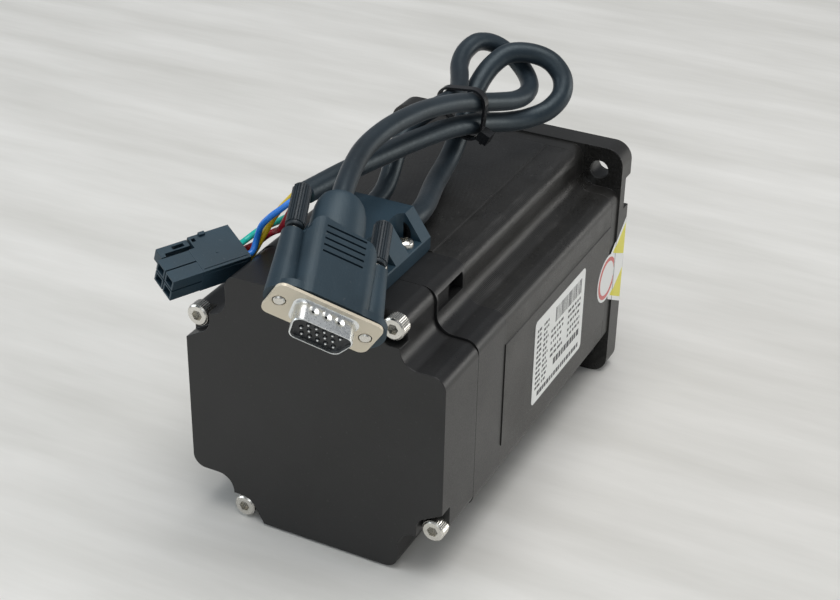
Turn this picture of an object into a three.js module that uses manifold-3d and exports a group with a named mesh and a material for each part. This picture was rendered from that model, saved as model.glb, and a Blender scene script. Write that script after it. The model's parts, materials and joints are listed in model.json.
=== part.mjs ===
// An 86 mm frame closed-loop hybrid servo motor with its tied-up encoder and power cables.
// Millimetres. The motor lies on its flat side: +Y runs along the shaft from the rear cover to the
// shaft end, +X is to the right seen from the rear, and +Z is up. Inside the `motor` group the origin
// is the middle of the rear face; the exported group puts the origin under the middle of the motor.
import * as THREE from 'three';
import { mergeVertices } from 'three/addons/utils/BufferGeometryUtils.js';
import Module from 'manifold-3d';

const wasm = await Module();
wasm.setup();

// ---------------------------------------------------------------- driving dimensions
const FLANGE = 86; // square mounting flange
const FLANGE_HALF = FLANGE / 2;
const BODY_HALF = 42.4; // half the width over the flats of the body
const COVER_LENGTH = 21.3; // rear cover
const BELL_END = 40.1; // rear bell ends, laminations begin
const CORE_END = 125.7; // laminations end, front flange casting begins
const PLATE_START = 131.4; // square plate of the front flange
const FLANGE_FACE = 140; // mounting face
const PILOT_LENGTH = 2;
const PILOT_RADIUS = 36.5;
const SHAFT_END = 178;
const SHAFT_RADIUS = 7;
const HOLE_OFFSET = 34.8; // mounting holes sit at plus and minus this in X and Z
const HOLE_RADIUS = 3.25;
const PLATE_CORNER = 6;
const EDGE_RECESS = 2;
const CORE_MIDDLE = (BELL_END + CORE_END) / 2;
const PLATE_MIDDLE = (PLATE_START + FLANGE_FACE) / 2;

const NOTCH = 28.9; // the corner notch reaches in to this distance from the axis planes
const COVER_NOTCH = 28.2;
const FLAT_ROUND = 4.2; // convex round at the ends of each flat
const NOTCH_ROUND = 5.4; // concave round in the corner of a notch
const WALL = 3;

const COVER_SCREW_AT = [25.3, 38.9]; // on the top flat; the other three follow by quarter turns
const TIE_BOLT_AT = [37.4, 23.6]; // on the right flat; the other three follow by quarter turns
const POCKET_RADIUS = 4.8;
const POCKET_DEPTH = 5;
const POCKET_FLARE = 17.8; // where a pocket meets the flat

const POLES = 8;
const ROTOR_TEETH = 50;
const ROTOR_RADIUS = 22.9;
const TOOTH_DEPTH = 0.9;
const BORE_RADIUS = 23.1;
const SLOT_RADIUS = 36.5;
const TOUCH = 0.3; // gap between faces that meet on turned or cut pieces

const CIRCLE = 24; // sides of a large round
const SMALL_CIRCLE = 12;
const HOLE_SIDES = 8;
const QUARTERS = [0, 1, 2, 3];

// The moulded cable outlet on the top flat, its screws and its two cable exits.
const OUTLET = { y0: 8.5, y1: 41.5, half: 16.6, skirt: 4.2, topHalf: 10.8, height: 12.8, wall: 4.5 };
const OUTLET_INSIDE = 7.6;
const EXIT_X = { encoder: -6.5, power: 8.5 };
const EXIT_Z = 48.5;
const EXIT_HOLE = 4.3;
const CAP_SCREW_X = 12.9;
const CAP_SCREW_Y = [16, 32.2];
const CAP_FLOOR = BODY_HALF + 4.6; // floor of the screw pockets
const CAP_POCKET = 4.1;

// ---------------------------------------------------------------- materials
const paint = (color, roughness, metalness = 0) =>
  new THREE.MeshStandardMaterial({ color, roughness, metalness });
const BLACK_PAINT = paint(0x343435, 0.55, 0.2);
const LAMINATION = paint(0x3b3a38, 0.5, 0.5);
const STEEL = paint(0xb8babc, 0.35, 1);
const DARK_STEEL = paint(0x55585c, 0.4, 0.9);
const STAINLESS = paint(0xd8d6d0, 0.25, 1);
const COPPER = paint(0xb8683a, 0.35, 0.9);
const INSULATOR = paint(0xe8e2cf, 0.6);
const MAGNET = paint(0x707377, 0.4, 0.8);
const BOARD_GREEN = paint(0x1f5a38, 0.5);
const BLACK_PLASTIC = paint(0x26292e, 0.5);
const CABLE_BLACK = paint(0x25282c, 0.55);
const RUBBER = paint(0x1a1a1b, 0.8);
const NICKEL = paint(0xd9d4c4, 0.3, 0.9);
const LABEL_WHITE = paint(0xe6e6e2, 0.6);
const GLASS_DISC = paint(0x9fb3b8, 0.15);

// ---------------------------------------------------------------- solids
// Merges shared vertices, drops empty triangles and turns every face outwards.
function closed(geometry) {
  const bare = geometry.clone();
  bare.deleteAttribute('normal');
  bare.deleteAttribute('uv');
  const merged = mergeVertices(bare, 1e-4);
  const p = merged.getAttribute('position').array;
  const index = merged.index.array;
  const kept = [];
  let volume = 0;
  const corner = (i) => new THREE.Vector3(p[3 * i], p[3 * i + 1], p[3 * i + 2]);
  for (let i = 0; i < index.length; i += 3) {
    const [a, b, c] = [index[i], index[i + 1], index[i + 2]];
    if (a === b || b === c || c === a) continue;
    kept.push(a, b, c);
    volume += corner(a).dot(corner(b).cross(corner(c)));
  }
  if (volume < 0) {
    for (let i = 0; i < kept.length; i += 3) [kept[i + 1], kept[i + 2]] = [kept[i + 2], kept[i + 1]];
  }
  merged.setIndex(kept);
  return merged;
}

function toSolid(geometry) {
  const g = closed(geometry);
  const vertProperties = new Float32Array(g.getAttribute('position').array);
  const triVerts = new Uint32Array(g.index.array);
  return new wasm.Manifold(new wasm.Mesh({ numProp: 3, vertProperties, triVerts }));
}

function toGeometry(solid) {
  const mesh = solid.getMesh();
  const g = new THREE.BufferGeometry();
  g.setAttribute('position', new THREE.BufferAttribute(new Float32Array(mesh.vertProperties), 3));
  g.setIndex(Array.from(mesh.triVerts));
  return g;
}

// Joins the first geometry with `added` and cuts `removed` away.
function carve(base, added = [], removed = []) {
  let solid = toSolid(base);
  for (const piece of added) solid = solid.add(toSolid(piece));
  for (const piece of removed) solid = solid.subtract(toSolid(piece));
  return toGeometry(solid);
}

// ---------------------------------------------------------------- outlines in the X-Z plane
// Points along an arc from angle a to angle b, in degrees.
function arc(cx, cz, r, a, b, steps) {
  const points = [];
  for (let i = 0; i <= steps; i += 1) {
    const t = THREE.MathUtils.degToRad(a + ((b - a) * i) / steps);
    points.push([cx + r * Math.cos(t), cz + r * Math.sin(t)]);
  }
  return points;
}

// The point at a radius and an angle in degrees.
function polar(r, angle) {
  const t = THREE.MathUtils.degToRad(angle);
  return [r * Math.cos(t), r * Math.sin(t)];
}

const quarterTurn = ([x, z], turns) => {
  let [a, b] = [x, z];
  for (let i = 0; i < turns; i += 1) [a, b] = [-b, a];
  return [a, b];
};
const fourTimes = (points) => QUARTERS.flatMap((turns) => points.map((p) => quarterTurn(p, turns)));
const shapeOf = (points) => new THREE.Shape(points.map(([x, z]) => new THREE.Vector2(x, z)));

// The square with notched corners that the whole body has.
function bodyOutline(half, notch, flatRound, notchRound) {
  return fourTimes([
    ...arc(half - flatRound, notch - flatRound, flatRound, 0, 90, 3),
    ...arc(notch + notchRound, notch + notchRound, notchRound, 270, 180, 4),
    ...arc(notch - flatRound, half - flatRound, flatRound, 0, 90, 3),
  ]);
}

function roundedRect(width, height, r, steps = 4, cx = 0, cz = 0) {
  const [a, b] = [width / 2 - r, height / 2 - r];
  return [
    ...arc(cx + a, cz + b, r, 0, 90, steps),
    ...arc(cx - a, cz + b, r, 90, 180, steps),
    ...arc(cx - a, cz - b, r, 180, 270, steps),
    ...arc(cx + a, cz - b, r, 270, 360, steps),
  ];
}

// ---------------------------------------------------------------- primitives along Y
// Extrudes an outline drawn in X-Z from y0 to y1, with optional holes.
function alongY(outline, y0, y1, holes = []) {
  const shape = shapeOf(outline);
  for (const hole of holes) shape.holes.push(shapeOf(hole));
  const g = new THREE.ExtrudeGeometry(shape, { depth: y1 - y0, bevelEnabled: false });
  g.rotateX(Math.PI / 2);
  g.translate(0, y1, 0);
  return g;
}

function rod(r, y0, y1, x = 0, z = 0, sides = SMALL_CIRCLE, rEnd = r) {
  const g = new THREE.CylinderGeometry(rEnd, r, y1 - y0, sides);
  g.translate(x, (y0 + y1) / 2, z);
  return g;
}

// A rod along Z.
function post(r, z0, z1, x, y, sides = SMALL_CIRCLE) {
  const g = new THREE.CylinderGeometry(r, r, z1 - z0, sides);
  g.rotateX(Math.PI / 2);
  g.translate(x, y, (z0 + z1) / 2);
  return g;
}

// A ring or stepped turned piece: profile points are [radius, y], listed once round.
function turned(profile, sides = CIRCLE) {
  const points = profile.map(([r, y]) => new THREE.Vector2(r, y));
  const onAxis = profile[0][0] === 0 && profile[profile.length - 1][0] === 0;
  if (!onAxis) points.push(points[0].clone());
  return new THREE.LatheGeometry(points, sides);
}

const ring = (inner, outer, y0, y1, sides = CIRCLE) =>
  turned([[inner, y0], [outer, y0], [outer, y1], [inner, y1]], sides);

function box(x0, x1, y0, y1, z0, z1) {
  const g = new THREE.BoxGeometry(x1 - x0, y1 - y0, z1 - z0);
  g.translate((x0 + x1) / 2, (y0 + y1) / 2, (z0 + z1) / 2);
  return g;
}

// ---------------------------------------------------------------- scene graph
const part = new THREE.Group();
const motor = new THREE.Group();
motor.position.set(0, -SHAFT_END / 2, FLANGE_HALF);
part.add(motor);

function add(name, geometry, material, group = motor) {
  const mesh = new THREE.Mesh(closed(geometry), material);
  mesh.name = name;
  group.add(mesh);
  return mesh;
}

// ---------------------------------------------------------------- fastener places
const screwSpots = QUARTERS.map((turns) => quarterTurn(COVER_SCREW_AT, turns));
const boltSpots = QUARTERS.map((turns) => quarterTurn(TIE_BOLT_AT, turns));
const capScrewSpots = [CAP_SCREW_X, -CAP_SCREW_X].flatMap((x) => CAP_SCREW_Y.map((y) => [x, y]));

// ---------------------------------------------------------------- rear cover
// A screw pocket cut into the end of the top flat, open to the outside and into the notch.
function pocket(y0, y1, turns) {
  const [sx, sz] = COVER_SCREW_AT;
  const outline = [
    [NOTCH + 2, BODY_HALF + 2],
    [POCKET_FLARE, BODY_HALF + 2],
    [POCKET_FLARE, BODY_HALF],
    ...arc(sx, sz, POCKET_RADIUS, 205, 270, 4),
    [NOTCH + 2, sz - POCKET_RADIUS],
  ];
  return alongY(outline.map((p) => quarterTurn(p, turns)), y0, y1);
}

const BOSS_RADIUS = 7.4;

// The two holes for the outlet's screws in one row.
const CAP_SCREW_DEPTH = 2.6;
const capScrewHoles = (row) => [CAP_SCREW_X, -CAP_SCREW_X].map((x) =>
  post(1.6, BODY_HALF - CAP_SCREW_DEPTH - 1, BODY_HALF + 1, x, CAP_SCREW_Y[row], 8));

function rearCover() {
  const outer = alongY(bodyOutline(BODY_HALF, COVER_NOTCH, FLAT_ROUND, NOTCH_ROUND), 0, COVER_LENGTH);
  const inner = bodyOutline(BODY_HALF - WALL, COVER_NOTCH - WALL, 2, NOTCH_ROUND + WALL);
  const bosses = screwSpots.map(([x, z]) => rod(BOSS_RADIUS, WALL - 1, COVER_LENGTH + 1, x, z));
  const hollow = carve(alongY(inner, WALL, COVER_LENGTH + 1), [], bosses);
  return carve(outer, [], [
    hollow,
    ...QUARTERS.map((turns) => pocket(-1, POCKET_DEPTH, turns)),
    ...screwSpots.map(([x, z]) => rod(2.2, -1, COVER_LENGTH + 1, x, z, HOLE_SIDES)),
    box(-7, 7, 12, 18, BODY_HALF - WALL - 1, BODY_HALF + 1), // encoder lead passage
    ...capScrewHoles(0),
  ]);
}
add('rear_cover', rearCover(), BLACK_PAINT);

// A socket-head cap screw: head towards -Y, with its hexagon socket.
function capScrew(headRadius, headLength, shankRadius, y0, yEnd, x, z) {
  const neck = y0 + headLength;
  const profile = [[0, neck - 1], [shankRadius, neck - 1], [shankRadius, yEnd], [0, yEnd]];
  const shank = turned(profile, HOLE_SIDES);
  shank.translate(x, 0, z);
  return carve(rod(headRadius, y0, neck, x, z), [shank],
    [rod(headRadius * 0.5, y0 - 1, y0 + headLength * 0.55, x, z, 6)]);
}
const COVER_SCREW_END = 30;
screwSpots.forEach(([x, z], i) => {
  add(`cover_screw_${i + 1}`, capScrew(3.5, 4, 2, POCKET_DEPTH - 4, COVER_SCREW_END, x, z), STAINLESS);
});

// ---------------------------------------------------------------- rear bell
const REAR_BEARING = { bore: 6, outer: 14, y0: 25.6, y1: 33.6 };
const END_TURN_ROOM = 8.3;
const BOLT_HEAD_END = COVER_LENGTH + 5.3;

function rearBell() {
  const outline = bodyOutline(BODY_HALF, NOTCH, FLAT_ROUND, NOTCH_ROUND);
  // a recess in the notch wall in line with each cover screw
  const recess = (turns) => alongY(
    [[25.6, 34.5], [NOTCH + 1, 34.5], [NOTCH + 1, 39.6], [25.6, 39.6]].map((p) => quarterTurn(p, turns)),
    31, BELL_END - 2);
  return carve(alongY(outline, COVER_LENGTH, BELL_END), BOARD_POSTS.map(([x, z]) =>
    rod(3, BOARD_BACK, COVER_LENGTH + 1, x, z, HOLE_SIDES)), [
    ring(17, 37.6, BELL_END - END_TURN_ROOM, BELL_END + 1, CIRCLE),
    rod(REAR_BEARING.outer, 24.3, BELL_END + 1, 0, 0, CIRCLE),
    rod(7, COVER_LENGTH - 1, 25, 0, 0, CIRCLE),
    ...QUARTERS.map(recess),
    ...screwSpots.map(([x, z]) => rod(2.2, COVER_LENGTH - 1, COVER_SCREW_END + 0.5, x, z, HOLE_SIDES)),
    ...boltSpots.flatMap(([x, z]) => [
      rod(4.5, COVER_LENGTH - 1, BOLT_HEAD_END, x, z),
      rod(2.75, COVER_LENGTH, BELL_END + 1, x, z, HOLE_SIDES),
    ]),
    ...BOARD_POSTS.map(([x, z]) => rod(1.25, BOARD_BACK - 1, COVER_LENGTH + 3, x, z, 8)),
    box(-7, 7, 32.5, 36.5, 30, BODY_HALF + 1), // phase lead passage
    ...capScrewHoles(1),
  ]);
}
const BOARD_POSTS = [[20, -19], [-20, -19]];
const BOARD_FRONT = 17.4;
const BOARD_BACK = 19;
add('rear_bell', rearBell(), BLACK_PAINT);

// ---------------------------------------------------------------- stator
const POLE_HALF = 4.4;
const SHOE_HALF_ANGLE = 17; // degrees
const SHOE_DEPTH = 3;

// One slot-and-pole pitch of the stator bore, centred on angle 0.
function polePitch(boreRadius, poleHalf, slotRadius) {
  const slotAngle = THREE.MathUtils.radToDeg(Math.asin(poleHalf / slotRadius));
  const shoeTop = boreRadius + SHOE_DEPTH;
  const neckX = Math.sqrt(shoeTop ** 2 - poleHalf ** 2);
  return [
    ...arc(0, 0, slotRadius, -22.5, -slotAngle, 1),
    [neckX, -poleHalf],
    polar(shoeTop, -SHOE_HALF_ANGLE),
    ...arc(0, 0, boreRadius, -SHOE_HALF_ANGLE, SHOE_HALF_ANGLE, 3),
    polar(shoeTop, SHOE_HALF_ANGLE),
    [neckX, poleHalf],
    polar(slotRadius, slotAngle),
  ];
}

function boreOutline(boreRadius, poleHalf, slotRadius) {
  const pitch = polePitch(boreRadius, poleHalf, slotRadius);
  const points = [];
  for (let k = 0; k < POLES; k += 1) {
    const a = (2 * Math.PI * k) / POLES;
    for (const [x, z] of pitch) {
      points.push([x * Math.cos(a) - z * Math.sin(a), x * Math.sin(a) + z * Math.cos(a)]);
    }
  }
  return points;
}

function statorCore() {
  const outline = bodyOutline(BODY_HALF, NOTCH, FLAT_ROUND, NOTCH_ROUND);
  const core = alongY(outline, BELL_END, CORE_END, [boreOutline(BORE_RADIUS, POLE_HALF, SLOT_RADIUS)]);
  const bolts = boltSpots.map(([x, z]) => rod(2.75, BELL_END - 1, CORE_END + 1, x, z, HOLE_SIDES));
  return carve(core, [], bolts);
}
add('stator_core', statorCore(), LAMINATION);

const INSULATOR_THICK = 1.2;
function slotInsulator(y0) {
  const rim = arc(0, 0, 37.4, 0, 360, CIRCLE).slice(0, -1);
  return alongY(rim, y0, y0 + INSULATOR_THICK, [boreOutline(BORE_RADIUS + 0.4, POLE_HALF - 0.2, 35.9)]);
}
add('rear_slot_insulator', slotInsulator(BELL_END - INSULATOR_THICK), INSULATOR);
add('front_slot_insulator', slotInsulator(CORE_END), INSULATOR);

// One phase: four coils on every other pole, joined by the ring of wire that links them.
const COIL_INNER = 27;
const COIL_OUTER = 33.8;
const COIL_WIDTH = 19.2;
const COIL_END = 5;
const LINK_END = 1;
const LINK_THICK = 1.6;

function phaseWinding(firstPole, linkAtRear) {
  const rear = BELL_END - INSULATOR_THICK - COIL_END + (linkAtRear ? 0 : LINK_END);
  const front = CORE_END + INSULATOR_THICK + COIL_END - (linkAtRear ? LINK_END : 0);
  const slotLength = CORE_END - BELL_END + 2 * INSULATOR_THICK + 0.4;
  const outline = roundedRect(COIL_WIDTH, front - rear, 4, 1, 0, (front + rear) / 2);
  const shape = shapeOf(outline);
  shape.holes.push(shapeOf(roundedRect(2 * POLE_HALF + 0.8, slotLength, 0.4, 1, 0, CORE_MIDDLE)));
  const coils = [];
  for (let pole = firstPole; pole < POLES; pole += 2) {
    const coil = new THREE.ExtrudeGeometry(shape, { depth: COIL_OUTER - COIL_INNER, bevelEnabled: false });
    coil.translate(0, 0, COIL_INNER);
    coil.rotateY((2 * Math.PI * pole) / POLES + Math.PI / 2);
    coils.push(coil);
  }
  const linkStart = linkAtRear ? rear - LINK_THICK + 0.3 : front - 0.3;
  return carve(ring(30, 32, linkStart, linkStart + LINK_THICK, 24), coils);
}
add('phase_a_winding', phaseWinding(0, true), COPPER);
add('phase_b_winding', phaseWinding(1, false), COPPER);

// ---------------------------------------------------------------- front flange
const FRONT_BEARING = { bore: 7.5, outer: 17.5, y0: 126.2, y1: 137.2 };
const SEAL = { inner: 7.1, outer: 13, y0: 138, y1: 141.6 };

function frontFlange() {
  const neck = alongY(bodyOutline(BODY_HALF, NOTCH, FLAT_ROUND, NOTCH_ROUND), CORE_END, PLATE_START + 1);
  const plate = alongY(roundedRect(FLANGE, FLANGE, PLATE_CORNER), PLATE_START, FLANGE_FACE);
  const pilot = rod(PILOT_RADIUS, FLANGE_FACE - 1, FLANGE_FACE + PILOT_LENGTH, 0, 0, 36);
  const corners = [[1, 1], [-1, 1], [-1, -1], [1, -1]];
  // a shallow finger recess in the front half of each plate edge
  const recess = (turns) => alongY(
    [[FLANGE_HALF - EDGE_RECESS, 20], [FLANGE_HALF + 1, 20], [FLANGE_HALF + 1, 32], [FLANGE_HALF - EDGE_RECESS, 32]]
      .map((p) => quarterTurn(p, turns)), PLATE_MIDDLE, FLANGE_FACE + 1);
  return carve(neck, [plate, pilot], [
    rod(FRONT_BEARING.outer, CORE_END - 1, FRONT_BEARING.y1, 0, 0, CIRCLE),
    rod(SEAL.outer, FRONT_BEARING.y1 - 1, FLANGE_FACE + 3, 0, 0, CIRCLE),
    ring(21.5, 37.6, CORE_END - 1, CORE_END + END_TURN_ROOM, CIRCLE),
    ...corners.map(([x, z]) => rod(HOLE_RADIUS, PLATE_START - 7, FLANGE_FACE + 1,
      x * HOLE_OFFSET, z * HOLE_OFFSET, 20)),
    ...boltSpots.map(([x, z]) => rod(2.75, CORE_END - 1, 136, x, z, HOLE_SIDES)),
    ...QUARTERS.map(recess),
  ]);
}
add('front_flange', frontFlange(), BLACK_PAINT);

boltSpots.forEach(([x, z], i) => {
  add(`tie_bolt_${i + 1}`, capScrew(4.25, 5, 2.5, COVER_LENGTH + 0.3, 135.5, x, z), DARK_STEEL);
});

// ---------------------------------------------------------------- rotor
const KEY = { y0: 149, y1: 174, half: 2.5, depth: 3, height: 5 };
function shaft() {
  const body = turned([
    [0, 7], [4, 7], [4, 24], [6, 24], [6, 39], [8, 39], [8, 124], [7.5, 124], [7.5, 138.3],
    [SHAFT_RADIUS, 138.3], [SHAFT_RADIUS, SHAFT_END - 1], [SHAFT_RADIUS - 1, SHAFT_END], [0, SHAFT_END],
  ]);
  return carve(body, [], [box(-KEY.half, KEY.half, KEY.y0, KEY.y1, SHAFT_RADIUS - KEY.depth, SHAFT_RADIUS + 2)]);
}
add('shaft', shaft(), STEEL);

function shaftKey() {
  const half = KEY.half - 0.05;
  const z0 = SHAFT_RADIUS - KEY.depth + 0.05;
  return box(-half, half, KEY.y0 + 0.1, KEY.y1 - 0.1, z0, z0 + KEY.height);
}
add('shaft_key', shaftKey(), DARK_STEEL);

function toothedCup(y0, y1, turn) {
  const pitch = 360 / ROTOR_TEETH;
  const outline = [];
  for (let k = 0; k < ROTOR_TEETH; k += 1) {
    const a = k * pitch + turn;
    outline.push(
      polar(ROTOR_RADIUS, a - pitch * 0.22),
      polar(ROTOR_RADIUS, a + pitch * 0.22),
      polar(ROTOR_RADIUS - TOOTH_DEPTH, a + pitch * 0.5),
    );
  }
  return alongY(outline, y0, y1, [arc(0, 0, 8.15, 0, 360, CIRCLE).slice(0, -1)]);
}
const CUP_LENGTH = 38;
const ROTOR_START = 43;
const MAGNET_LENGTH = 4;
const SECOND_CUP = ROTOR_START + CUP_LENGTH + MAGNET_LENGTH;
add('rear_rotor_cup', toothedCup(ROTOR_START, ROTOR_START + CUP_LENGTH, 0), LAMINATION);
add('front_rotor_cup', toothedCup(SECOND_CUP, SECOND_CUP + CUP_LENGTH, 180 / ROTOR_TEETH), LAMINATION);
add('rotor_magnet', ring(8.05, 20, ROTOR_START + CUP_LENGTH + 0.02, SECOND_CUP - 0.02), MAGNET);

// ---------------------------------------------------------------- bearings
// Inner and outer rings, and the caged balls that roll between them.
function bearing(prefix, { bore, outer, y0, y1 }, balls) {
  const pitchRadius = (bore + outer) / 2;
  const ballRadius = (outer - bore) * 0.28;
  const track = ballRadius + 0.12;
  const spheres = [];
  for (let k = 0; k < balls; k += 1) {
    const [x, z] = polar(pitchRadius, (360 * k) / balls);
    const ball = new THREE.SphereGeometry(ballRadius, 6, 4);
    ball.translate(x, (y0 + y1) / 2, z);
    spheres.push(ball);
  }
  const cage = carve(ring(pitchRadius - 0.5, pitchRadius + 0.5, y0 + 1.2, y1 - 1.2, 2 * balls), spheres);
  add(`${prefix}_bearing_inner`, ring(bore + 0.02, pitchRadius - track, y0, y1), STEEL);
  add(`${prefix}_bearing_outer`, ring(pitchRadius + track, outer - 0.03, y0, y1), STEEL);
  add(`${prefix}_bearing_cage`, cage, DARK_STEEL);
}
bearing('rear', REAR_BEARING, 7);
bearing('front', FRONT_BEARING, 7);

// A spring washer with three waves that preloads the rear bearing.
function waveWasher() {
  const g = ring(10.6, 13.7, 0, 0.4);
  const p = g.getAttribute('position');
  for (let i = 0; i < p.count; i += 1) {
    const a = Math.atan2(p.getZ(i), p.getX(i));
    p.setY(i, p.getY(i) + 24.75 + 0.4 * Math.cos(3 * a));
  }
  return g;
}
add('wave_washer', waveWasher(), STEEL);
add('shaft_seal', ring(SEAL.inner, SEAL.outer - 0.05, SEAL.y0 + 0.6, SEAL.y1), RUBBER);

// ---------------------------------------------------------------- encoder
const DISC_Y = 12.6;
const DISC_RADIUS = 17;
add('encoder_hub', turned([
  [4.03, 8], [8, 8], [8, 11.6], [6, 11.6], [6, 15], [4.03, 15],
]), STEEL);
add('encoder_disc', ring(6.1, DISC_RADIUS, DISC_Y - 0.5, DISC_Y + 0.5), GLASS_DISC);

function encoderBoard() {
  const outline = bodyOutline(31, 24, 1.5, 2);
  return carve(alongY(outline, BOARD_FRONT, BOARD_BACK, [arc(0, 0, 10.5, 0, 360, 24).slice(0, -1)]), [],
    BOARD_POSTS.map(([x, z]) => rod(1.7, BOARD_FRONT - 1, BOARD_BACK + 1, x, z, HOLE_SIDES)));
}
add('encoder_board', encoderBoard(), BOARD_GREEN);
add('encoder_reader', carve(box(-7, 7, 9.4, BOARD_FRONT, 11, 23), [],
  [box(-8, 8, DISC_Y - 1.1, DISC_Y + 1.1, 10, DISC_RADIUS + 1.2)]), BLACK_PLASTIC);
add('board_connector', carve(box(-29, -19, 11.4, BOARD_FRONT, -4, 10), [],
  [box(-28, -20, 10, 16, -3, 9)]), INSULATOR);
BOARD_POSTS.forEach(([x, z], i) => {
  add(`board_screw_${i + 1}`, capScrew(2.6, 2, 1.15, BOARD_FRONT - 2, 23.6, x, z), STEEL);
});

// ---------------------------------------------------------------- cable outlet
// A black moulded cap on the top flat, with sloped sides and screw pockets, over both lead passages.

function cableOutlet() {
  const { y0, y1, half, skirt, topHalf, height, wall } = OUTLET;
  const top = BODY_HALF + height;
  const outline = [
    [half, BODY_HALF], [half, BODY_HALF + skirt], [topHalf, top],
    [-topHalf, top], [-half, BODY_HALF + skirt], [-half, BODY_HALF],
  ];
  const screwPocket = ([x, y]) => {
    const outward = Math.sign(x) * 8;
    return [
      post(CAP_POCKET, CAP_FLOOR, top + 1, x, y),
      box(Math.min(x, x + outward), Math.max(x, x + outward), y - CAP_POCKET, y + CAP_POCKET, CAP_FLOOR, top + 1),
      post(1.6, BODY_HALF - 1, CAP_FLOOR + 1, x, y, 8),
    ];
  };
  return carve(alongY(outline, y0, y1), [], [
    box(-OUTLET_INSIDE, OUTLET_INSIDE, y0 + 2.5, y1 - wall, BODY_HALF - 1, top - 2.2),
    ...Object.values(EXIT_X).map((x) => rod(EXIT_HOLE, y1 - wall - 1, y1 + 1, x, EXIT_Z)),
    ...capScrewSpots.flatMap(screwPocket),
  ]);
}
add('cable_outlet', cableOutlet(), BLACK_PLASTIC);

// Pan-head screws that hold the cap down.
function panScrew(x, y) {
  const head = post(2.7, CAP_FLOOR, CAP_FLOOR + 2, x, y);
  const shank = post(1.3, BODY_HALF - CAP_SCREW_DEPTH, CAP_FLOOR + 1, x, y, 8);
  const slot = (along) => box(x - (along ? 1.6 : 0.4), x + (along ? 1.6 : 0.4),
    y - (along ? 0.4 : 1.6), y + (along ? 0.4 : 1.6), CAP_FLOOR + 1, CAP_FLOOR + 3);
  return carve(head, [shank], [slot(true), slot(false)]);
}
capScrewSpots.forEach(([x, y], i) => add(`outlet_screw_${i + 1}`, panScrew(x, y), STAINLESS));

// Bushings between the cap and the two cables.
const GLAND_END = OUTLET.y1 + 2;
function gland(x) {
  const body = rod(EXIT_HOLE - 0.05, OUTLET.y1 - 4, OUTLET.y1 + 0.5, x, EXIT_Z);
  return carve(body, [rod(EXIT_HOLE + 0.6, OUTLET.y1, GLAND_END, x, EXIT_Z)],
    [rod(2, OUTLET.y1 - 5, GLAND_END + 1, x, EXIT_Z, 12)]);
}
for (const [name, x] of Object.entries(EXIT_X)) add(`${name}_gland`, gland(x), RUBBER);

// ---------------------------------------------------------------- cables and wires
// A tube along hand-placed points, with a closed flat end at each end.
function tube(points, diameter, sides, steps) {
  const path = new THREE.CatmullRomCurve3(points.map((p) => new THREE.Vector3(...p)));
  const section = shapeOf(arc(0, 0, diameter / 2, 0, 360, sides).slice(0, -1));
  return new THREE.ExtrudeGeometry(section, { steps, bevelEnabled: false, extrudePath: path });
}

// The routes follow each lead from its plug end to the motor.
const ENCODER_CABLE = 6;
const ENCODER_ROUTE = [
  [6.5, 5.3, 68.9], [4.3, 11.5, 71], [2.4, 18, 72.4], [0.7, 24.6, 73.4], [-0.6, 31.3, 74.1],
  [-1.2, 38.2, 74.5], [-1.2, 45.1, 74.7], [-0.8, 51.9, 74.6], [-0.1, 58.8, 74.2], [0.6, 65.6, 73.5],
  [1.4, 72.3, 72.4], [2.3, 79, 71], [3.5, 85.6, 69.4], [5.1, 92, 67.6], [7.2, 98.3, 65.7],
  [9.4, 104.6, 64], [11.4, 111, 62.5], [12.3, 117.8, 61.8], [11.1, 124.5, 62.3], [7.3, 129.7, 64.3],
  [1.6, 131.8, 68.2], [-4.3, 130, 72.2], [-8.2, 124.9, 73.9], [-9.6, 118.3, 72.6], [-8.4, 111.7, 70.7],
  [-5.5, 105.7, 68.9], [-2.9, 99.4, 67.6], [-2.5, 92.6, 66.9], [-4.4, 86.1, 66.1], [-7.1, 80, 64.3],
  [-8.8, 74.3, 60.9], [-9, 69, 56.6], [-8.1, 63.6, 52.5], [-7, 57.4, 49.6], [-6.5, 50.7, 48.5],
  [-6.5, 43.8, 48.5],
];
const POWER_CABLE = 6.6;
const POWER_ROUTE = [
  [-13.8, 22.4, 61.9], [-12.2, 29.1, 62.2], [-10.6, 35.8, 62.5], [-9.1, 42.6, 62.5],
  [-7.6, 49.3, 62.4], [-6.1, 56.1, 62.2], [-4.5, 62.8, 62.1], [-2.7, 69.5, 61.9], [-0.9, 76.1, 61.6],
  [1, 82.8, 61.1], [3, 89.3, 60.2], [5.1, 95.8, 58.9], [7.5, 102.1, 57.3], [10.4, 108.2, 55.8],
  [14.8, 115.6, 55.2], [19.3, 121.8, 56.9], [21.4, 127, 60.6], [19.9, 130.6, 64.9],
  [15.3, 131.6, 69.2], [9.4, 129.9, 71.5], [3.1, 125.2, 72], [-0.1, 119.6, 69.6], [-1.6, 113.9, 66],
  [-1.9, 108.3, 61.8], [-1.6, 102.7, 57.3], [-1.1, 96.9, 53.3], [-0.3, 90.7, 50.1], [0.5, 84.2, 48.3],
  [1.7, 77.5, 47.8], [3.1, 70.7, 47.4], [5, 64.1, 47.5], [7, 57.5, 48], [8.4, 50.7, 48.4],
  [8.5, 43.8, 48.5],
];
add('encoder_cable', tube(ENCODER_ROUTE, ENCODER_CABLE, 8, 36), CABLE_BLACK);
add('power_cable', tube(POWER_ROUTE, POWER_CABLE, 8, 34), CABLE_BLACK);

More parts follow.
